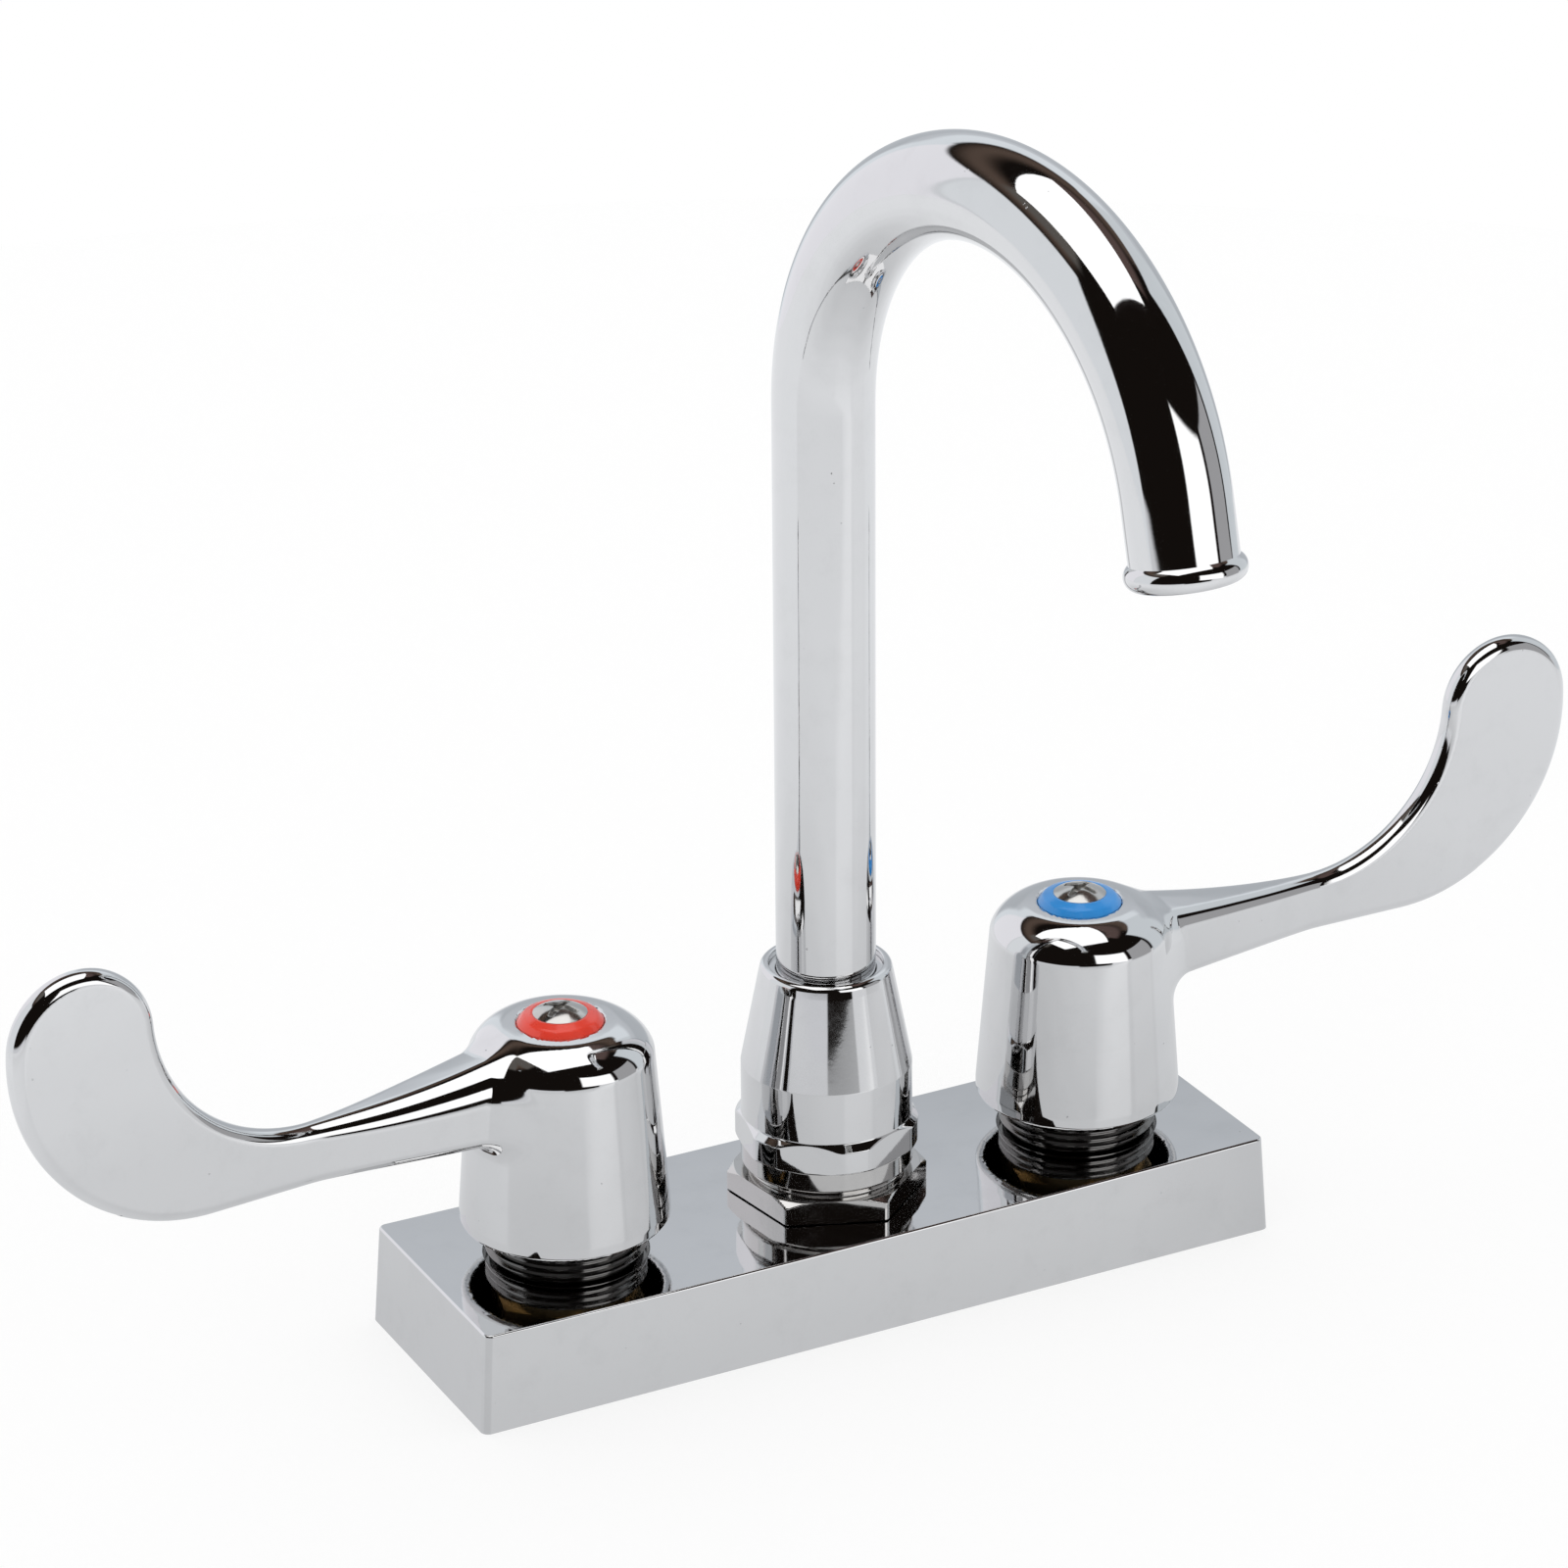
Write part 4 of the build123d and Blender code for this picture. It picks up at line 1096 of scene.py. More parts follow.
@dataclass
class Effects:
    """The shader node groups that several finishes share.

    Scales are cells in a metre, heights are metres, and the others are shares.
    """

    wave_scale: float = 55.0
    peel_scale: float = 900.0
    haze_scale: float = 160.0
    speck_scale: float = 420.0
    speck_size: Point = (0.05, 0.09)
    speck_patches: float = 240.0
    speck_rarity: Point = (0.6, 0.66)
    haze_range: Point = (0.45, 0.8)
    wave_height: float = 0.00012
    peel_height: float = 0.0000016
    speck_height: float = 0.00002
    haze_roughness: float = 0.05
    speck_roughness: float = 0.3
    haze_shade: float = 0.05
    speck_shade: float = 0.25
    ring_scale: float = 900.0
    ring_wobble: float = 1.5
    blotch_scale: float = 130.0
    grain_height: float = 0.00001
    ring_height: float = 0.000012
    blotch_roughness: float = 0.25

    def __post_init__(self) -> None:
        """Build each group once."""
        self.polish = self.make_polish()
        self.grain = self.make_grain()

    @staticmethod
    def group(name: str, inputs: dict[str, float],
              outputs: dict[str, str]) -> tuple[bpy.types.NodeTree, Shader]:
        """Start a node group.

        Args:
            name: The group's name.
            inputs: Name and usual value of each number that goes in.
            outputs: Name and socket type of each result.

        Returns:
            The tree and a layout helper for it.
        """
        tree = bpy.data.node_groups.new(name, "ShaderNodeTree")
        for label, usual in inputs.items():
            socket = tree.interface.new_socket(label, in_out="INPUT", socket_type="NodeSocketFloat")
            socket.default_value = usual
        for label, kind in outputs.items():
            tree.interface.new_socket(label, in_out="OUTPUT", socket_type=kind)
        return tree, Shader(tree)

    def make_polish(self) -> bpy.types.NodeTree:
        """Polished metal: slow waviness of the casting, buffing haze, dust specks and a little tarnish.

        Returns:
            The group's tree.
        """
        tree, draw = self.group(
            "polished_surface",
            {"Waviness": 1.0, "Haze": 1.0, "Specks": 1.0, "Smoothness": 0.04},
            {"Tint": "NodeSocketFloat", "Roughness": "NodeSocketFloat", "Height": "NodeSocketFloat"},
        )
        entry = draw.node("NodeGroupInput")
        place = draw.node("ShaderNodeTexCoord").outputs["Object"]
        slow = draw.noise(place, self.wave_scale, detail=1.0)
        fine = draw.noise(place, self.peel_scale, detail=3.0, roughness=0.6)
        cloud = draw.noise(place, self.haze_scale, detail=4.0, roughness=0.65)
        dust = draw.node("ShaderNodeTexVoronoi", feature="F1", Scale=self.speck_scale)
        draw.feed(dust, "Vector", place)
        dot = draw.ramp(dust.outputs["Distance"], *self.speck_size, 1.0, 0.0)
        rare = draw.ramp(draw.noise(place, self.speck_patches), *self.speck_rarity)
        speck = draw.math("MULTIPLY", draw.math("MULTIPLY", dot, rare), entry.outputs["Specks"])
        haze = draw.math("MULTIPLY", draw.ramp(cloud, *self.haze_range), entry.outputs["Haze"])
        rough = draw.math("MULTIPLY", haze, self.haze_roughness)
        rough = draw.math("ADD", rough, entry.outputs["Smoothness"])
        rough = draw.math("ADD", rough, draw.math("MULTIPLY", speck, self.speck_roughness))
        wave = draw.math("MULTIPLY", slow, entry.outputs["Waviness"])
        wave = draw.math("MULTIPLY", wave, self.wave_height)
        peel = draw.math("MULTIPLY", fine, entry.outputs["Haze"])
        peel = draw.math("MULTIPLY", peel, self.peel_height)
        grit = draw.math("MULTIPLY", speck, self.speck_height)
        height = draw.math("ADD", draw.math("ADD", wave, peel), grit)
        dull = draw.math("MULTIPLY", haze, self.haze_shade)
        dull = draw.math("ADD", dull, draw.math("MULTIPLY", speck, self.speck_shade))
        tint = draw.math("SUBTRACT", 1.0, dull)
        leave = draw.node("NodeGroupOutput")
        draw.feed(leave, "Tint", tint)
        draw.feed(leave, "Roughness", rough)
        draw.feed(leave, "Height", height)
        return tree

    def make_grain(self) -> bpy.types.NodeTree:
        """Turned, moulded or sanded surfaces: fine grain, turning rings and blotches.

        Returns:
            The group's tree.
        """
        tree, draw = self.group(
            "worked_surface",
            {"Scale": 1200.0, "Rings": 0.0, "Depth": 1.0, "Roughness": 0.35},
            {"Mask": "NodeSocketFloat", "Roughness": "NodeSocketFloat", "Height": "NodeSocketFloat"},
        )
        entry = draw.node("NodeGroupInput")
        place = draw.node("ShaderNodeTexCoord").outputs["Object"]
        grain = draw.node("ShaderNodeTexNoise", Detail=4.0)
        draw.feed(grain, "Vector", place)
        draw.feed(grain, "Scale", entry.outputs["Scale"])
        rings = draw.node("ShaderNodeTexWave", wave_type="BANDS", bands_direction="Z", Scale=self.ring_scale,
                          Distortion=self.ring_wobble)
        draw.feed(rings, "Vector", place)
        turned = draw.math("MULTIPLY", rings.outputs["Fac"], entry.outputs["Rings"])
        blotch = draw.noise(place, self.blotch_scale, detail=4.0, roughness=0.6)
        height = draw.math("MULTIPLY", grain.outputs["Fac"], self.grain_height)
        height = draw.math("ADD", height, draw.math("MULTIPLY", turned, self.ring_height))
        height = draw.math("MULTIPLY", height, entry.outputs["Depth"])
        spread = draw.math("MULTIPLY", draw.math("SUBTRACT", blotch, 0.5), self.blotch_roughness)
        rough = draw.math("ADD", entry.outputs["Roughness"], spread)
        leave = draw.node("NodeGroupOutput")
        draw.feed(leave, "Mask", blotch)
        draw.feed(leave, "Roughness", rough)
        draw.feed(leave, "Height", height)
        return tree


@dataclass(frozen=True)
class Polished:
    """A polished metal finish."""

    name: str
    colour: Colour
    waviness: float = 1.0
    haze: float = 1.0
    specks: float = 1.0
    smoothness: float = 0.04
    dulled: float = 0.3

    def make(self, effects: Effects) -> bpy.types.Material:
        """Build the material.

        Args:
            effects: The shared node groups.

        Returns:
            The material.
        """
        material = bpy.data.materials.new(self.name)
        material.use_nodes = True
        draw = Shader(material.node_tree)
        shader = material.node_tree.nodes["Principled BSDF"]
        surface = draw.node("ShaderNodeGroup", node_tree=effects.polish)
        for label, value in (("Waviness", self.waviness), ("Haze", self.haze), ("Specks", self.specks),
                             ("Smoothness", self.smoothness)):
            draw.feed(surface, label, value)
        dark = tuple(channel * self.dulled for channel in self.colour)
        colour = draw.mix(surface.outputs["Tint"], dark, self.colour)
        bump = draw.node("ShaderNodeBump", Strength=1.0, Distance=1.0)
        draw.feed(bump, "Height", surface.outputs["Height"])
        draw.feed(shader, "Base Color", colour)
        draw.feed(shader, "Roughness", surface.outputs["Roughness"])
        draw.feed(shader, "Normal", bump.outputs["Normal"])
        draw.feed(shader, "Metallic", 1.0)
        return material


@dataclass(frozen=True)
class Worked:
    """A turned, moulded or sanded finish, metal or not."""

    name: str
    colour: Colour
    shade: Colour
    metallic: float
    roughness: float
    grain: float = 1200.0
    rings: float = 0.0
    depth: float = 1.0
    coat: float = 0.0

    def make(self, effects: Effects) -> bpy.types.Material:
        """Build the material.

        Args:
            effects: The shared node groups.

        Returns:
            The material.
        """
        material = bpy.data.materials.new(self.name)
        material.use_nodes = True
        draw = Shader(material.node_tree)
        shader = material.node_tree.nodes["Principled BSDF"]
        surface = draw.node("ShaderNodeGroup", node_tree=effects.grain)
        for label, value in (("Scale", self.grain), ("Rings", self.rings), ("Depth", self.depth),
                             ("Roughness", self.roughness)):
            draw.feed(surface, label, value)
        bump = draw.node("ShaderNodeBump", Strength=1.0, Distance=1.0)
        draw.feed(bump, "Height", surface.outputs["Height"])
        draw.feed(shader, "Base Color", draw.mix(surface.outputs["Mask"], self.shade, self.colour))
        draw.feed(shader, "Roughness", surface.outputs["Roughness"])
        draw.feed(shader, "Normal", bump.outputs["Normal"])
        draw.feed(shader, "Metallic", self.metallic)
        draw.feed(shader, "Coat Weight", self.coat)
        return material


class Finish(Enum):
    """Every finish of the faucet, named after the record's material slots."""

    POLISHED_CHROME = Polished("polished_chrome", (0.72, 0.72, 0.725))
    ADAPTER_CHROME = Polished("adapter_chrome", (0.6, 0.59, 0.58), haze=2.0, specks=2.5, smoothness=0.07)
    # neck_brass: grey metal darkened with painted shade, for the hub's shadow over the neck.
    SHADED_NECK = Worked("neck_brass", (0.24, 0.235, 0.23), (0.14, 0.135, 0.13), 1.0, 0.14, depth=0.3)
    # plain_brass: brass darkened with painted shade, for the shadow inside the hubs and the cover's holes.
    SHADED_BRASS = Worked("plain_brass", (0.46, 0.34, 0.18), (0.32, 0.23, 0.115), 1.0, 0.28, rings=1.0)
    ZINC_STEEL = Worked("zinc_steel", (0.62, 0.63, 0.65), (0.48, 0.49, 0.5), 1.0, 0.35)
    SCREW_STEEL = Worked("screw_steel", (0.66, 0.65, 0.63), (0.5, 0.49, 0.47), 1.0, 0.14)
    BLACK_RUBBER = Worked("black_rubber", (0.03, 0.03, 0.03), (0.02, 0.02, 0.02), 0.0, 0.7, grain=2500.0)
    WHITE_CERAMIC = Worked("white_ceramic", (0.9, 0.89, 0.86), (0.84, 0.83, 0.8), 0.0, 0.2)
    WHITE_NYLON = Worked("white_nylon", (0.85, 0.85, 0.82), (0.78, 0.78, 0.75), 0.0, 0.45)
    RED_PLASTIC = Worked("red_plastic", (0.83, 0.05, 0.02), (0.74, 0.035, 0.015), 0.0, 0.3, coat=0.4)
    BLUE_PLASTIC = Worked("blue_plastic", (0.02, 0.29, 0.74), (0.012, 0.22, 0.62), 0.0, 0.3, coat=0.4)


class Workshop:
    """Turns points into pieces, dresses them and seats them on the frame."""

    def __init__(self) -> None:
        """Make the shared groups and every material."""
        effects = Effects()
        self.materials = {finish: finish.value.make(effects) for finish in Finish}

    def dress_frame(self) -> None:
        """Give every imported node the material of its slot."""
        slots = {part["node"]: part["material_slot"] for part in frame["record"]["subparts"]}
        by_name = {finish.value.name: material for finish, material in self.materials.items()}
        for node, piece in frame["nodes"].items():
            piece.data.materials.clear()
            piece.data.materials.append(by_name[slots[node]])
            LOG.info("packed node %s wears %s", node, slots[node])

    def piece(self, name: str, skin: Skin, finish: Finish) -> bpy.types.Object:
        """Make a smooth mesh object.

        Args:
            name: The piece's name.
            skin: Its mesh.
            finish: What it wears.

        Returns:
            The new object.
        """
        mesh = bpy.data.meshes.new(name)
        mesh.from_pydata((skin.points * MM).tolist(), [], skin.faces)
        mesh.polygons.foreach_set("use_smooth", [True] * len(mesh.polygons))
        mesh.update()
        mesh.normals_split_custom_set(skin.normals.tolist())
        made = bpy.data.objects.new(name, mesh)
        bpy.context.scene.collection.objects.link(made)
        made.data.materials.append(self.materials[finish])
        return made

    def seat(self, piece: bpy.types.Object, body: str, finish: Finish, *nodes: str) -> None:
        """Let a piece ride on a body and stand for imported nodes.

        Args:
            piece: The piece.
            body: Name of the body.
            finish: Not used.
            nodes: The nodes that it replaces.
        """
        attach(piece, body)
        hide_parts(*nodes)
        LOG.info("piece %s rides on %s with %d faces", piece.name, body, len(piece.data.polygons))

    def add(self, name: str, skin: Skin, finish: Finish, body: str, node: str) -> None:
        """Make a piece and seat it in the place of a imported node.

        Args:
            name: The piece's name.
            skin: Its mesh.
            finish: What it wears.
            body: Name of the body that it rides on.
            node: The node that it replaces.
        """
        self.seat(self.piece(name, skin, finish), body, finish, node)


@dataclass(frozen=True)
class Card:
    """A wall, card or opening of the studio, as a patch of the surroundings in degrees.

    The azimuth is 0 towards the user and grows towards the cold side.
    """

    middle: float
    half_width: float
    low: float
    high: float
    colour: Colour
    soft: float = 1.5
    slant: float = 0.0


@dataclass
class Studio:
    """Floor, surroundings and camera, in millimetres and degrees.

    Each floor shadow level is a distance from the base and the floor's brightness there in reflections: a
    painted shadow of the faucet, darkest at the base.
    """

    focal_pixels: float = 5515.7
    frame_pixels: float = 1600.0
    sensor: float = 36.0
    azimuth: float = -27.4656
    elevation: float = 23.3983
    roll: float = -0.4522
    clip: Point = (0.01, 100.0)
    distance: float = 916.578
    target: tuple[float, float, float] = (-7.886, 0.0, 95.852)
    room_radius: float = 640.0
    room_height: float = 1700.0
    room_eye: float = 260.0
    softbox: tuple[float, float, float, float] = (-440.0, 305.0, -345.0, 335.0)
    softbox_height: float = 850.0
    softbox_strength: float = 1.45
    floor_painted_shadow: tuple[tuple[float, float], ...] = (
        (0.0, 0.7), (30.0, 0.74), (75.0, 0.8), (120.0, 0.87), (165.0, 0.93), (260.0, 0.98), (420.0, 1.0))
    floor_tint: tuple[float, float, float, float] = (0.985, 1.0, 1.02, 1.0)
    floor_index: float = 1.25
    paper_scale: float = 30.0
    paper_shades: Point = (0.97, 0.99)
    paper_share: float = 0.22
    sheen_roughness: float = 0.18
    base_half: Point = (77.0, 23.0)
    turns: int = 96
    dark_room: Colour = (0.008, 0.006, 0.005)
    cards: tuple[Card, ...] = (
        Card(-63.0, 37.0, -30.0, -18.5, (0.74, 0.75, 0.78)),
        Card(45.0, 30.0, -30.0, -15.5, (0.82, 0.83, 0.85)),
        Card(180.0, 91.0, 34.0, 47.0, (0.10, 0.07, 0.055), 6.0),
        Card(-108.0, 24.0, 40.0, 58.0, (0.12, 0.11, 0.1), 4.0),
        Card(100.0, 40.0, 50.0, 66.0, (0.11, 0.075, 0.068), 4.0),
        Card(-158.0, 25.0, -40.0, 29.0, (0.98, 0.975, 1.02)),
        Card(-111.0, 22.5, -40.0, 29.5, (0.87, 0.9, 0.93)),
        Card(99.5, 24.5, -40.0, 38.0, (0.72, 0.765, 0.8), 1.5, -0.1),
        Card(150.0, 31.0, -40.0, 31.0, (0.85, 0.9, 0.945), 2.0, -0.1),
        Card(141.0, 31.0, -40.0, 14.5, (0.62, 0.65, 0.69), 3.5),
        Card(141.0, 31.0, -40.0, 6.5, (0.53, 0.56, 0.595), 3.5),
        Card(56.0, 15.0, -40.0, 12.0, (0.42, 0.42, 0.43), 1.0),
        Card(15.5, 20.0, -14.0, 18.0, (1.45, 1.45, 1.45), 1.5, -0.35),
    )

    def ring(self) -> list[Point]:
        """Circle of the room's walls in metres.

        Returns:
            Its points, anticlockwise from above.
        """
        radius = self.room_radius * MM
        angles = [2 * math.pi * step / self.turns for step in range(self.turns)]
        return [(radius * math.cos(angle), radius * math.sin(angle)) for angle in angles]

    def camera(self) -> None:
        """Place the camera at the photograph's viewing angle."""
        turn, rise = math.radians(self.azimuth), math.radians(self.elevation)
        back = Vector((math.sin(turn) * math.cos(rise), -math.cos(turn) * math.cos(rise), math.sin(rise)))
        data = bpy.data.cameras.new("camera")
        data.sensor_width = self.sensor
        data.lens = self.focal_pixels / self.frame_pixels * self.sensor
        data.clip_start, data.clip_end = self.clip
        made = bpy.data.objects.new("camera", data)
        bpy.context.scene.collection.objects.link(made)
        right = (-back).cross(Vector((0, 0, 1))).normalized()
        up = right.cross(-back)
        lean = math.radians(self.roll)
        across = math.cos(lean) * right + math.sin(lean) * up
        upward = -math.sin(lean) * right + math.cos(lean) * up
        turned = Matrix((across, upward, back)).transposed().to_4x4()
        turned.translation = (Vector(self.target) + back * self.distance) * MM
        made.matrix_world = turned
        bpy.context.scene.camera = made

    def surroundings(self) -> None:
        """Build the world: white to the camera and to matt surfaces, dark in reflections."""
        world = bpy.data.worlds.new("studio")
        bpy.context.scene.world = world
        world.use_nodes = True
        tree = world.node_tree
        tree.nodes.clear()
        draw = Shader(tree)
        light = draw.node("ShaderNodeLightPath").outputs
        colour = draw.mix(light["Is Glossy Ray"], (1.0, 1.0, 1.0), self.dark_room)
        strength = draw.node("ShaderNodeBackground", Color=colour, Strength=1.0)
        draw.feed(draw.node("ShaderNodeOutputWorld"), "Surface", strength.outputs[0])

    def room(self) -> None:
        """Stand the studio's walls and cards round the floor, for reflections only."""
        turns = self.turns
        points = [(x, y, level) for level in (0.0, self.room_height * MM) for x, y in self.ring()]
        afters = [(step + 1) % turns for step in range(turns)]
        faces = [(step, step + turns, after + turns, after) for step, after in enumerate(afters)]

        def colour(draw: Shader) -> object:
            """Lay the cards over the dark room.

            Args:
                draw: Layout helper.

            Returns:
                The colour's socket.
            """
            place = draw.node("ShaderNodeTexCoord").outputs["Object"]
            split = draw.node("ShaderNodeSeparateXYZ", Vector=place).outputs
            front = draw.math("MULTIPLY", split["Y"], -1.0)
            azimuth = draw.math("DEGREES", draw.math("ARCTAN2", split["X"], front))
            above = draw.math("SUBTRACT", split["Z"], self.room_eye * MM)
            height = draw.math("DEGREES", draw.math("ARCTAN2", above, self.room_radius * MM))
            seen: object = self.dark_room
            for card in self.cards:
                seen = draw.mix(self.card_mask(draw, card, azimuth, height), seen, card.colour)
            return seen

        self.panel("studio_walls", points, faces, colour)

    def overhead(self) -> None:
        """Hang a softbox over the faucet, for reflections only."""
        left, right, near, far = self.softbox
        corners = ((left, near), (left, far), (right, far), (right, near))
        points = [(x * MM, y * MM, self.softbox_height * MM) for x, y in corners]
        white = (self.softbox_strength, self.softbox_strength, self.softbox_strength, 1.0)
        self.panel("overhead_softbox", points, [(0, 1, 2, 3)], lambda draw: white)

    def panel(self, name: str, points: list[tuple[float, ...]], faces: list[tuple[int, ...]],
              colour: Callable[[Shader], object]) -> None:
        """Add a glowing surface that only reflections show.

        Args:
            name: Name of the object.
            points: Its corners in metres.
            faces: Its faces.
            colour: Lays out the glow's colour.
        """
        mesh = bpy.data.meshes.new(name)
        mesh.from_pydata(points, [], faces)
        made = bpy.data.objects.new(name, mesh)
        bpy.context.scene.collection.objects.link(made)
        material = bpy.data.materials.new(f"{name}_glow")
        material.use_nodes = True
        tree = material.node_tree
        tree.nodes.clear()
        draw = Shader(tree)
        lit = draw.node("ShaderNodeEmission", Color=colour(draw), Strength=1.0)
        clear = draw.node("ShaderNodeBsdfTransparent")
        light = draw.node("ShaderNodeLightPath").outputs
        draw.feed(draw.node("ShaderNodeOutputMaterial"), "Surface",
                  self.blend(draw, light["Is Glossy Ray"], clear.outputs[0], lit.outputs[0]))
        material.cycles.emission_sampling = "NONE"
        mesh.materials.append(material)

    @staticmethod
    def between(draw: Shader, value: object, low: float, high: float, soft: float) -> bpy.types.NodeSocket:
        """Mask of a range with soft ends.

        Args:
            draw: Layout helper.
            value: The value to test.
            low: Start of the range.
            high: End of the range.
            soft: Width of each soft end.

        Returns:
            The mask's socket.
        """
        rise = draw.ramp(value, low - soft, low + soft)
        fall = draw.ramp(value, high - soft, high + soft, 1.0, 0.0)
        return draw.math("MULTIPLY", rise, fall)

    def card_mask(self, draw: Shader, card: Card, azimuth: object, height: object) -> bpy.types.NodeSocket:
        """Where a card is seen.

        Args:
            draw: Layout helper.
            card: The card.
            azimuth: Azimuth of the direction, in degrees.
            height: Its height above the horizon, in degrees.

        Returns:
            The mask's socket.
        """
        half_turn = 180.0
        off = draw.math("WRAP", draw.math("SUBTRACT", azimuth, card.middle), half_turn)
        off.node.inputs[2].default_value = -half_turn
        wide = self.between(draw, off, -card.half_width, card.half_width, card.soft)
        level = draw.math("SUBTRACT", height, draw.math("MULTIPLY", off, card.slant))
        return draw.math("MULTIPLY", wide, self.between(draw, level, card.low, card.high, card.soft))

    def floor(self) -> None:
        """Lay a pale round sheet under the faucet, with a painted shadow round the base that reflections
        show.
        """
        mesh = bpy.data.meshes.new("floor")
        mesh.from_pydata([(x, y, 0.0) for x, y in self.ring()], [], [tuple(range(self.turns))])
        sheet = bpy.data.objects.new("floor", mesh)
        bpy.context.scene.collection.objects.link(sheet)
        material = bpy.data.materials.new("floor_paper")
        material.use_nodes = True
        tree = material.node_tree
        tree.nodes.clear()
        draw = Shader(tree)
        place = draw.node("ShaderNodeTexCoord").outputs["Object"]
        dull, bright = ((shade,) * 3 for shade in self.paper_shades)
        paper = draw.mix(draw.noise(place, self.paper_scale, detail=3.0), dull, bright)
        matt = draw.node("ShaderNodeBsdfDiffuse", Color=paper)
        white = draw.node("ShaderNodeEmission", Color=(1.0, 1.0, 1.0, 1.0), Strength=1.0)
        split = draw.node("ShaderNodeSeparateXYZ", Vector=place).outputs
        squares = []
        for axis, half in zip("XY", self.base_half):
            beyond = draw.math("SUBTRACT", draw.math("ABSOLUTE", split[axis]), half * MM)
            beyond = draw.math("MAXIMUM", beyond, 0.0)
            squares.append(draw.math("MULTIPLY", beyond, beyond))
        reach = draw.math("SQRT", draw.math("ADD", *squares))
        # Painted shadow: the floor's glow in reflections is darkest at the base and brightens outwards.
        level: object = self.floor_painted_shadow[0][1]
        for (start, low), (end, high) in zip(self.floor_painted_shadow, self.floor_painted_shadow[1:]):
            level = draw.math("ADD", level, draw.ramp(reach, start * MM, end * MM, 0.0, high - low))
        pale = draw.node("ShaderNodeEmission", Color=self.floor_tint)
        draw.feed(pale, "Strength", level)
        sheen = draw.node("ShaderNodeBsdfGlossy", Roughness=self.sheen_roughness)
        gloss = draw.node("ShaderNodeFresnel", IOR=self.floor_index)
        light = draw.node("ShaderNodeLightPath").outputs
        seen = self.blend(draw, gloss.outputs[0], pale.outputs[0], sheen.outputs[0])
        glow = self.blend(draw, light["Is Glossy Ray"], white.outputs[0], seen)
        share = draw.math("MULTIPLY", self.paper_share, draw.math("SUBTRACT", 1.0, light["Is Glossy Ray"]))
        surface = self.blend(draw, share, glow, matt.outputs[0])
        draw.feed(draw.node("ShaderNodeOutputMaterial"), "Surface", surface)
        mesh.materials.append(material)

    @staticmethod
    def blend(draw: Shader, factor: object, first: object, second: object) -> bpy.types.NodeSocket:
        """Mix two shaders.

        Args:
            draw: Layout helper.
            factor: Share of the second shader.
            first: Shader at 0.
            second: Shader at 1.

        Returns:
            The mixed shader's socket.
        """
        made = draw.node("ShaderNodeMixShader")
        for socket, item in enumerate((factor, first, second)):
            draw.feed(made, socket, item)
        return made.outputs[0]

    def build(self) -> None:
        """Set the whole stage."""
        self.camera()
        self.surroundings()
        self.floor()
        self.room()
        self.overhead()
        bpy.context.scene.view_settings.view_transform = "Standard"


@dataclass
class SpoutTube:
    """Gooseneck tube: outer wall, rolled bead with a round lip, seat and bore."""

    line: SpoutLine = SpoutLine()
    outside: float = 8.64
    bore: float = 7.44
    mouth: float = 7.8
    mouth_depth: float = 6.0
    bead: float = 2.2
    bead_place: float = 7.43
    turns: int = 192
    step: float = 1.2

    def outline(self) -> Outline:
        """Closed outline of the tube's wall.

        Returns:
            The outline in distance from the centre line and place along it.
        """
        end = self.line.length()
        centre, seat = end - self.bead, end - self.mouth_depth
        out, inward = self.outside - self.bead_place, self.mouth - self.bead_place
        meet = math.sqrt(self.bead**2 - out**2)
        lip = math.sqrt(self.bead**2 - inward**2)
        start = math.atan2(-meet, out)
        return Outline((
            Run((self.outside, 0.0), (self.outside, centre - meet)),
            Arc((self.bead_place, centre), self.bead, start, math.atan2(lip, inward) - start),
            Run((self.mouth, centre + lip), (self.mouth, seat)),
            Run((self.mouth, seat), (self.bore, seat)),
            Run((self.bore, seat), (self.bore, 0.0)),
            Run((self.bore, 0.0), (self.outside, 0.0)),
        ))

    def dress(self, shop: Workshop) -> None:
        """Add the tube in polished chrome."""
        skin = Gooseneck(self.outline(), self.turns, self.step, self.line).skin()
        shop.add("gooseneck", skin, Finish.POLISHED_CHROME, "spout", "spout_tube")


@dataclass
class SpoutNut:
    """Tapered nut with wrench flats round its rim, and the guide ring in its mouth.

    Each corner holds its distance from the axis, its height and its rounding.
    """

    corners: tuple[Corner, ...] = (
        (12.0, 27.3, 0), (16.1, 27.3, 0.5), (16.1, 31.6, 0.35), (14.95, 32.8, 0.5), (14.95, 42.3, 1.2),
        (11.75, 58.9, 3.0), (11.3, 61.0, 1.1), (9.95, 61.0, 0.3), (9.95, 56.0, 0), (8.69, 56.0, 0),
        (8.69, 49.05, 0), (11.25, 49.05, 0), (11.25, 44.0, 0), (12.0, 44.0, 0))
    turns: int = 360
    step: float = 0.25
    flats: float = 30.2
    facing: float = -70.0
    flat_heights: Point = (27.0, 33.2)
    guide_corners: tuple[Corner, ...] = (
        (8.69, 56.0, 0), (9.95, 56.0, 0), (9.95, 59.9, 0.2), (8.69, 59.9, 0.3))
    guide_turns: int = 128
    guide_step: float = 0.5

    def dress(self, shop: Workshop) -> None:
        """Add the nut and its guide ring in polished chrome.

        Args:
            shop: The workshop that makes and seats them.
        """
        outline = Outline.rounded(self.corners)
        nut = Hexed(outline, self.turns, self.step, self.flats, self.facing, self.flat_heights)
        shop.add("tapered_nut", nut.skin(), Finish.POLISHED_CHROME, "root", "spout_nut")
        guide = Surface(Outline.rounded(self.guide_corners), self.guide_turns, self.guide_step)
        shop.add("nut_guide_ring", guide.skin(), Finish.POLISHED_CHROME, "root", "spout_guide_ring")


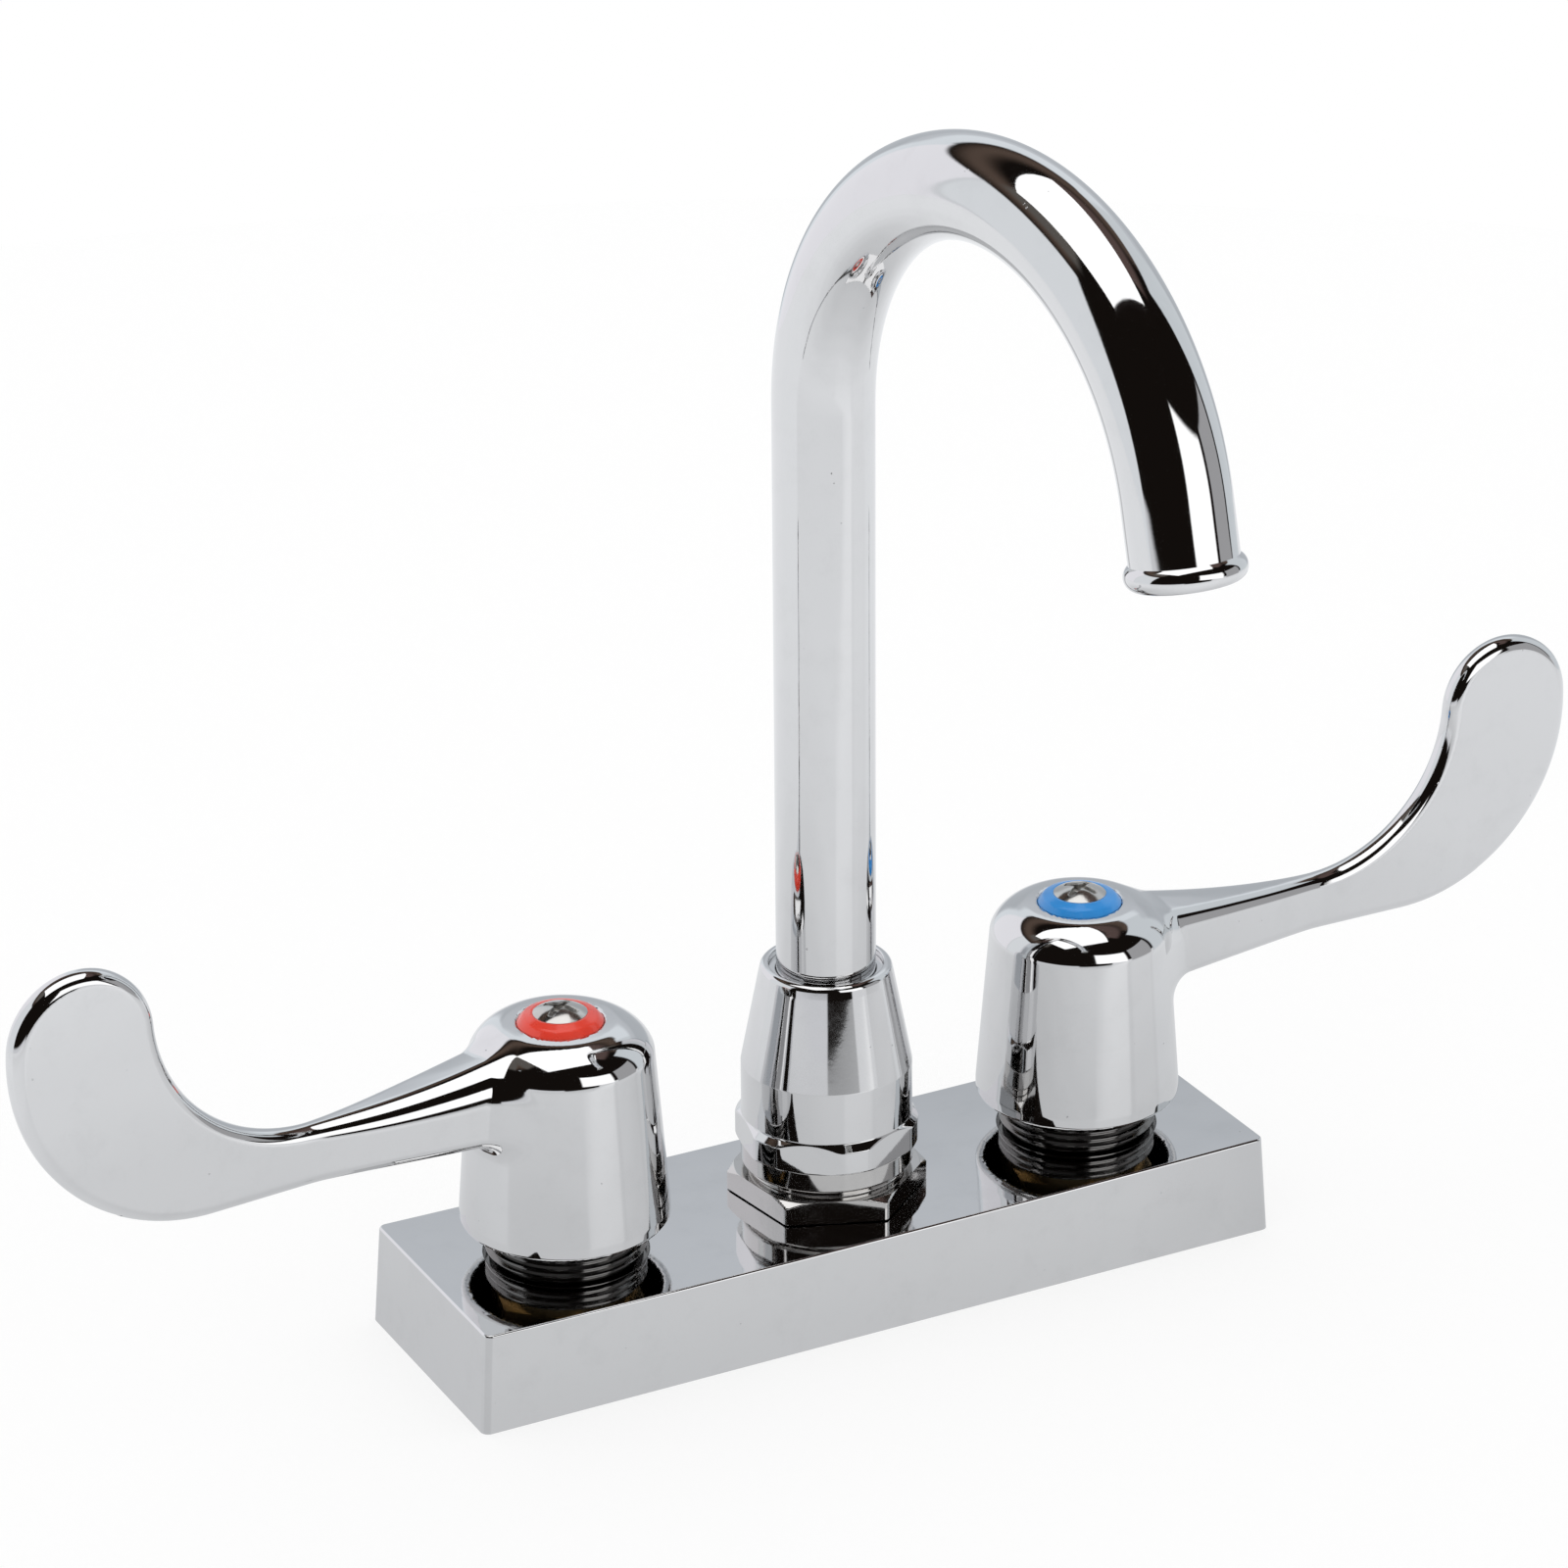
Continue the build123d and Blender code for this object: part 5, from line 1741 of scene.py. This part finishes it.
@dataclass
class SpoutAdapter:
    """Adapter with its hexagon, neck, collar, ringed thread and spigot.

    Each corner holds its distance from the axis, its height and its rounding.
    """

    spigot: tuple[Corner, ...] = (
        (6.5, 13.4, 0), (9.5, 13.4, 0), (9.5, 17.66, 0), (14.7, 17.66, 0), (14.7, 17.95, 0))
    hexagon: tuple[Corner, ...] = ((17.7, 17.95, 0.1), (17.7, 21.1, 0.5), (16.3, 22.0, 0.5))
    collar: tuple[Corner, ...] = (
        (13.6, 22.0, 0.3), (13.6, 23.4, 0.3), (15.1, 23.4, 0.5), (15.1, 27.3, 0.3), (12.1, 27.3, 0))
    bore: tuple[Corner, ...] = ((11.4, 44.0, 0), (8.69, 44.0, 0), (8.69, 24.4, 0), (6.5, 24.4, 0))
    thread_foot: float = 27.3
    thread_pitch: float = 1.41
    thread_turns: int = 11
    thread_crest: tuple[Point, ...] = ((11.4, 0.14), (12.0, 0.63), (12.0, 0.85), (11.4, 1.34))
    turns: int = 360
    step: float = 0.4
    flats: float = 30.8
    facing: float = -51.5
    flat_heights: Point = (17.9, 22.1)

    def dress(self, shop: Workshop) -> None:
        """Add the adapter in its duller chrome.

        Args:
            shop: The workshop that makes and seats it.
        """
        feet = [self.thread_foot + self.thread_pitch * turn for turn in range(self.thread_turns)]
        thread = [(radius, foot + rise, 0) for foot in feet for radius, rise in self.thread_crest]
        outline = Outline.rounded([*self.spigot, *self.hexagon, *self.collar, *thread, *self.bore])
        adapter = Hexed(outline, self.turns, self.step, self.flats, self.facing, self.flat_heights)
        shop.add("hex_adapter", adapter.skin(), Finish.ADAPTER_CHROME, "root", "spout_adapter")


@dataclass
class HandlePair:
    """Both handles, each with its index ring and screw.

    Each corner of the ring holds its distance from the axis, its height and its rounding.
    """

    ring_corners: tuple[Corner, ...] = (
        (2.05, 60.7, 0), (7.4, 60.7, 0), (7.4, 61.2, 0.25), (6.5, 62.35, 1.2), (5.0, 62.9, 0.35),
        (4.67, 62.85, 0))
    ring_turns: int = 128
    ring_step: float = 0.3

    def dress(self, shop: Workshop) -> None:
        """Add each side's handle, ring and screw.

        Args:
            shop: The workshop that makes and seats them.
        """
        lever = Handle().skin()
        screw = Screw().skin()
        band = Surface(Outline.rounded(self.ring_corners), self.ring_turns, self.ring_step).skin()
        for side in Side:
            body = f"{side.label}_handle"
            colour = Finish.RED_PLASTIC if side is Side.HOT else Finish.BLUE_PLASTIC
            for kind, skin, finish, node in (
                ("lever", lever, Finish.POLISHED_CHROME, "handle"),
                ("colour_ring", band, colour, "index_ring"),
                ("oval_screw", screw, Finish.SCREW_STEEL, "handle_screw"),
            ):
                placed = skin.placed(side.place, side.turn)
                shop.add(f"{side.label}_{kind}", placed, finish, body, f"{side.label}_{node}")


def main() -> None:
    """Build the stage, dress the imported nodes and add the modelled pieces."""
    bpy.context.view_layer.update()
    Studio().build()
    shop = Workshop()
    shop.dress_frame()
    for assembly in (Cover(), SpoutTube(), SpoutNut(), SpoutAdapter(), HandlePair()):
        assembly.dress(shop)


if __name__ == "__main__":
    logging.basicConfig(level=logging.INFO)
    main()
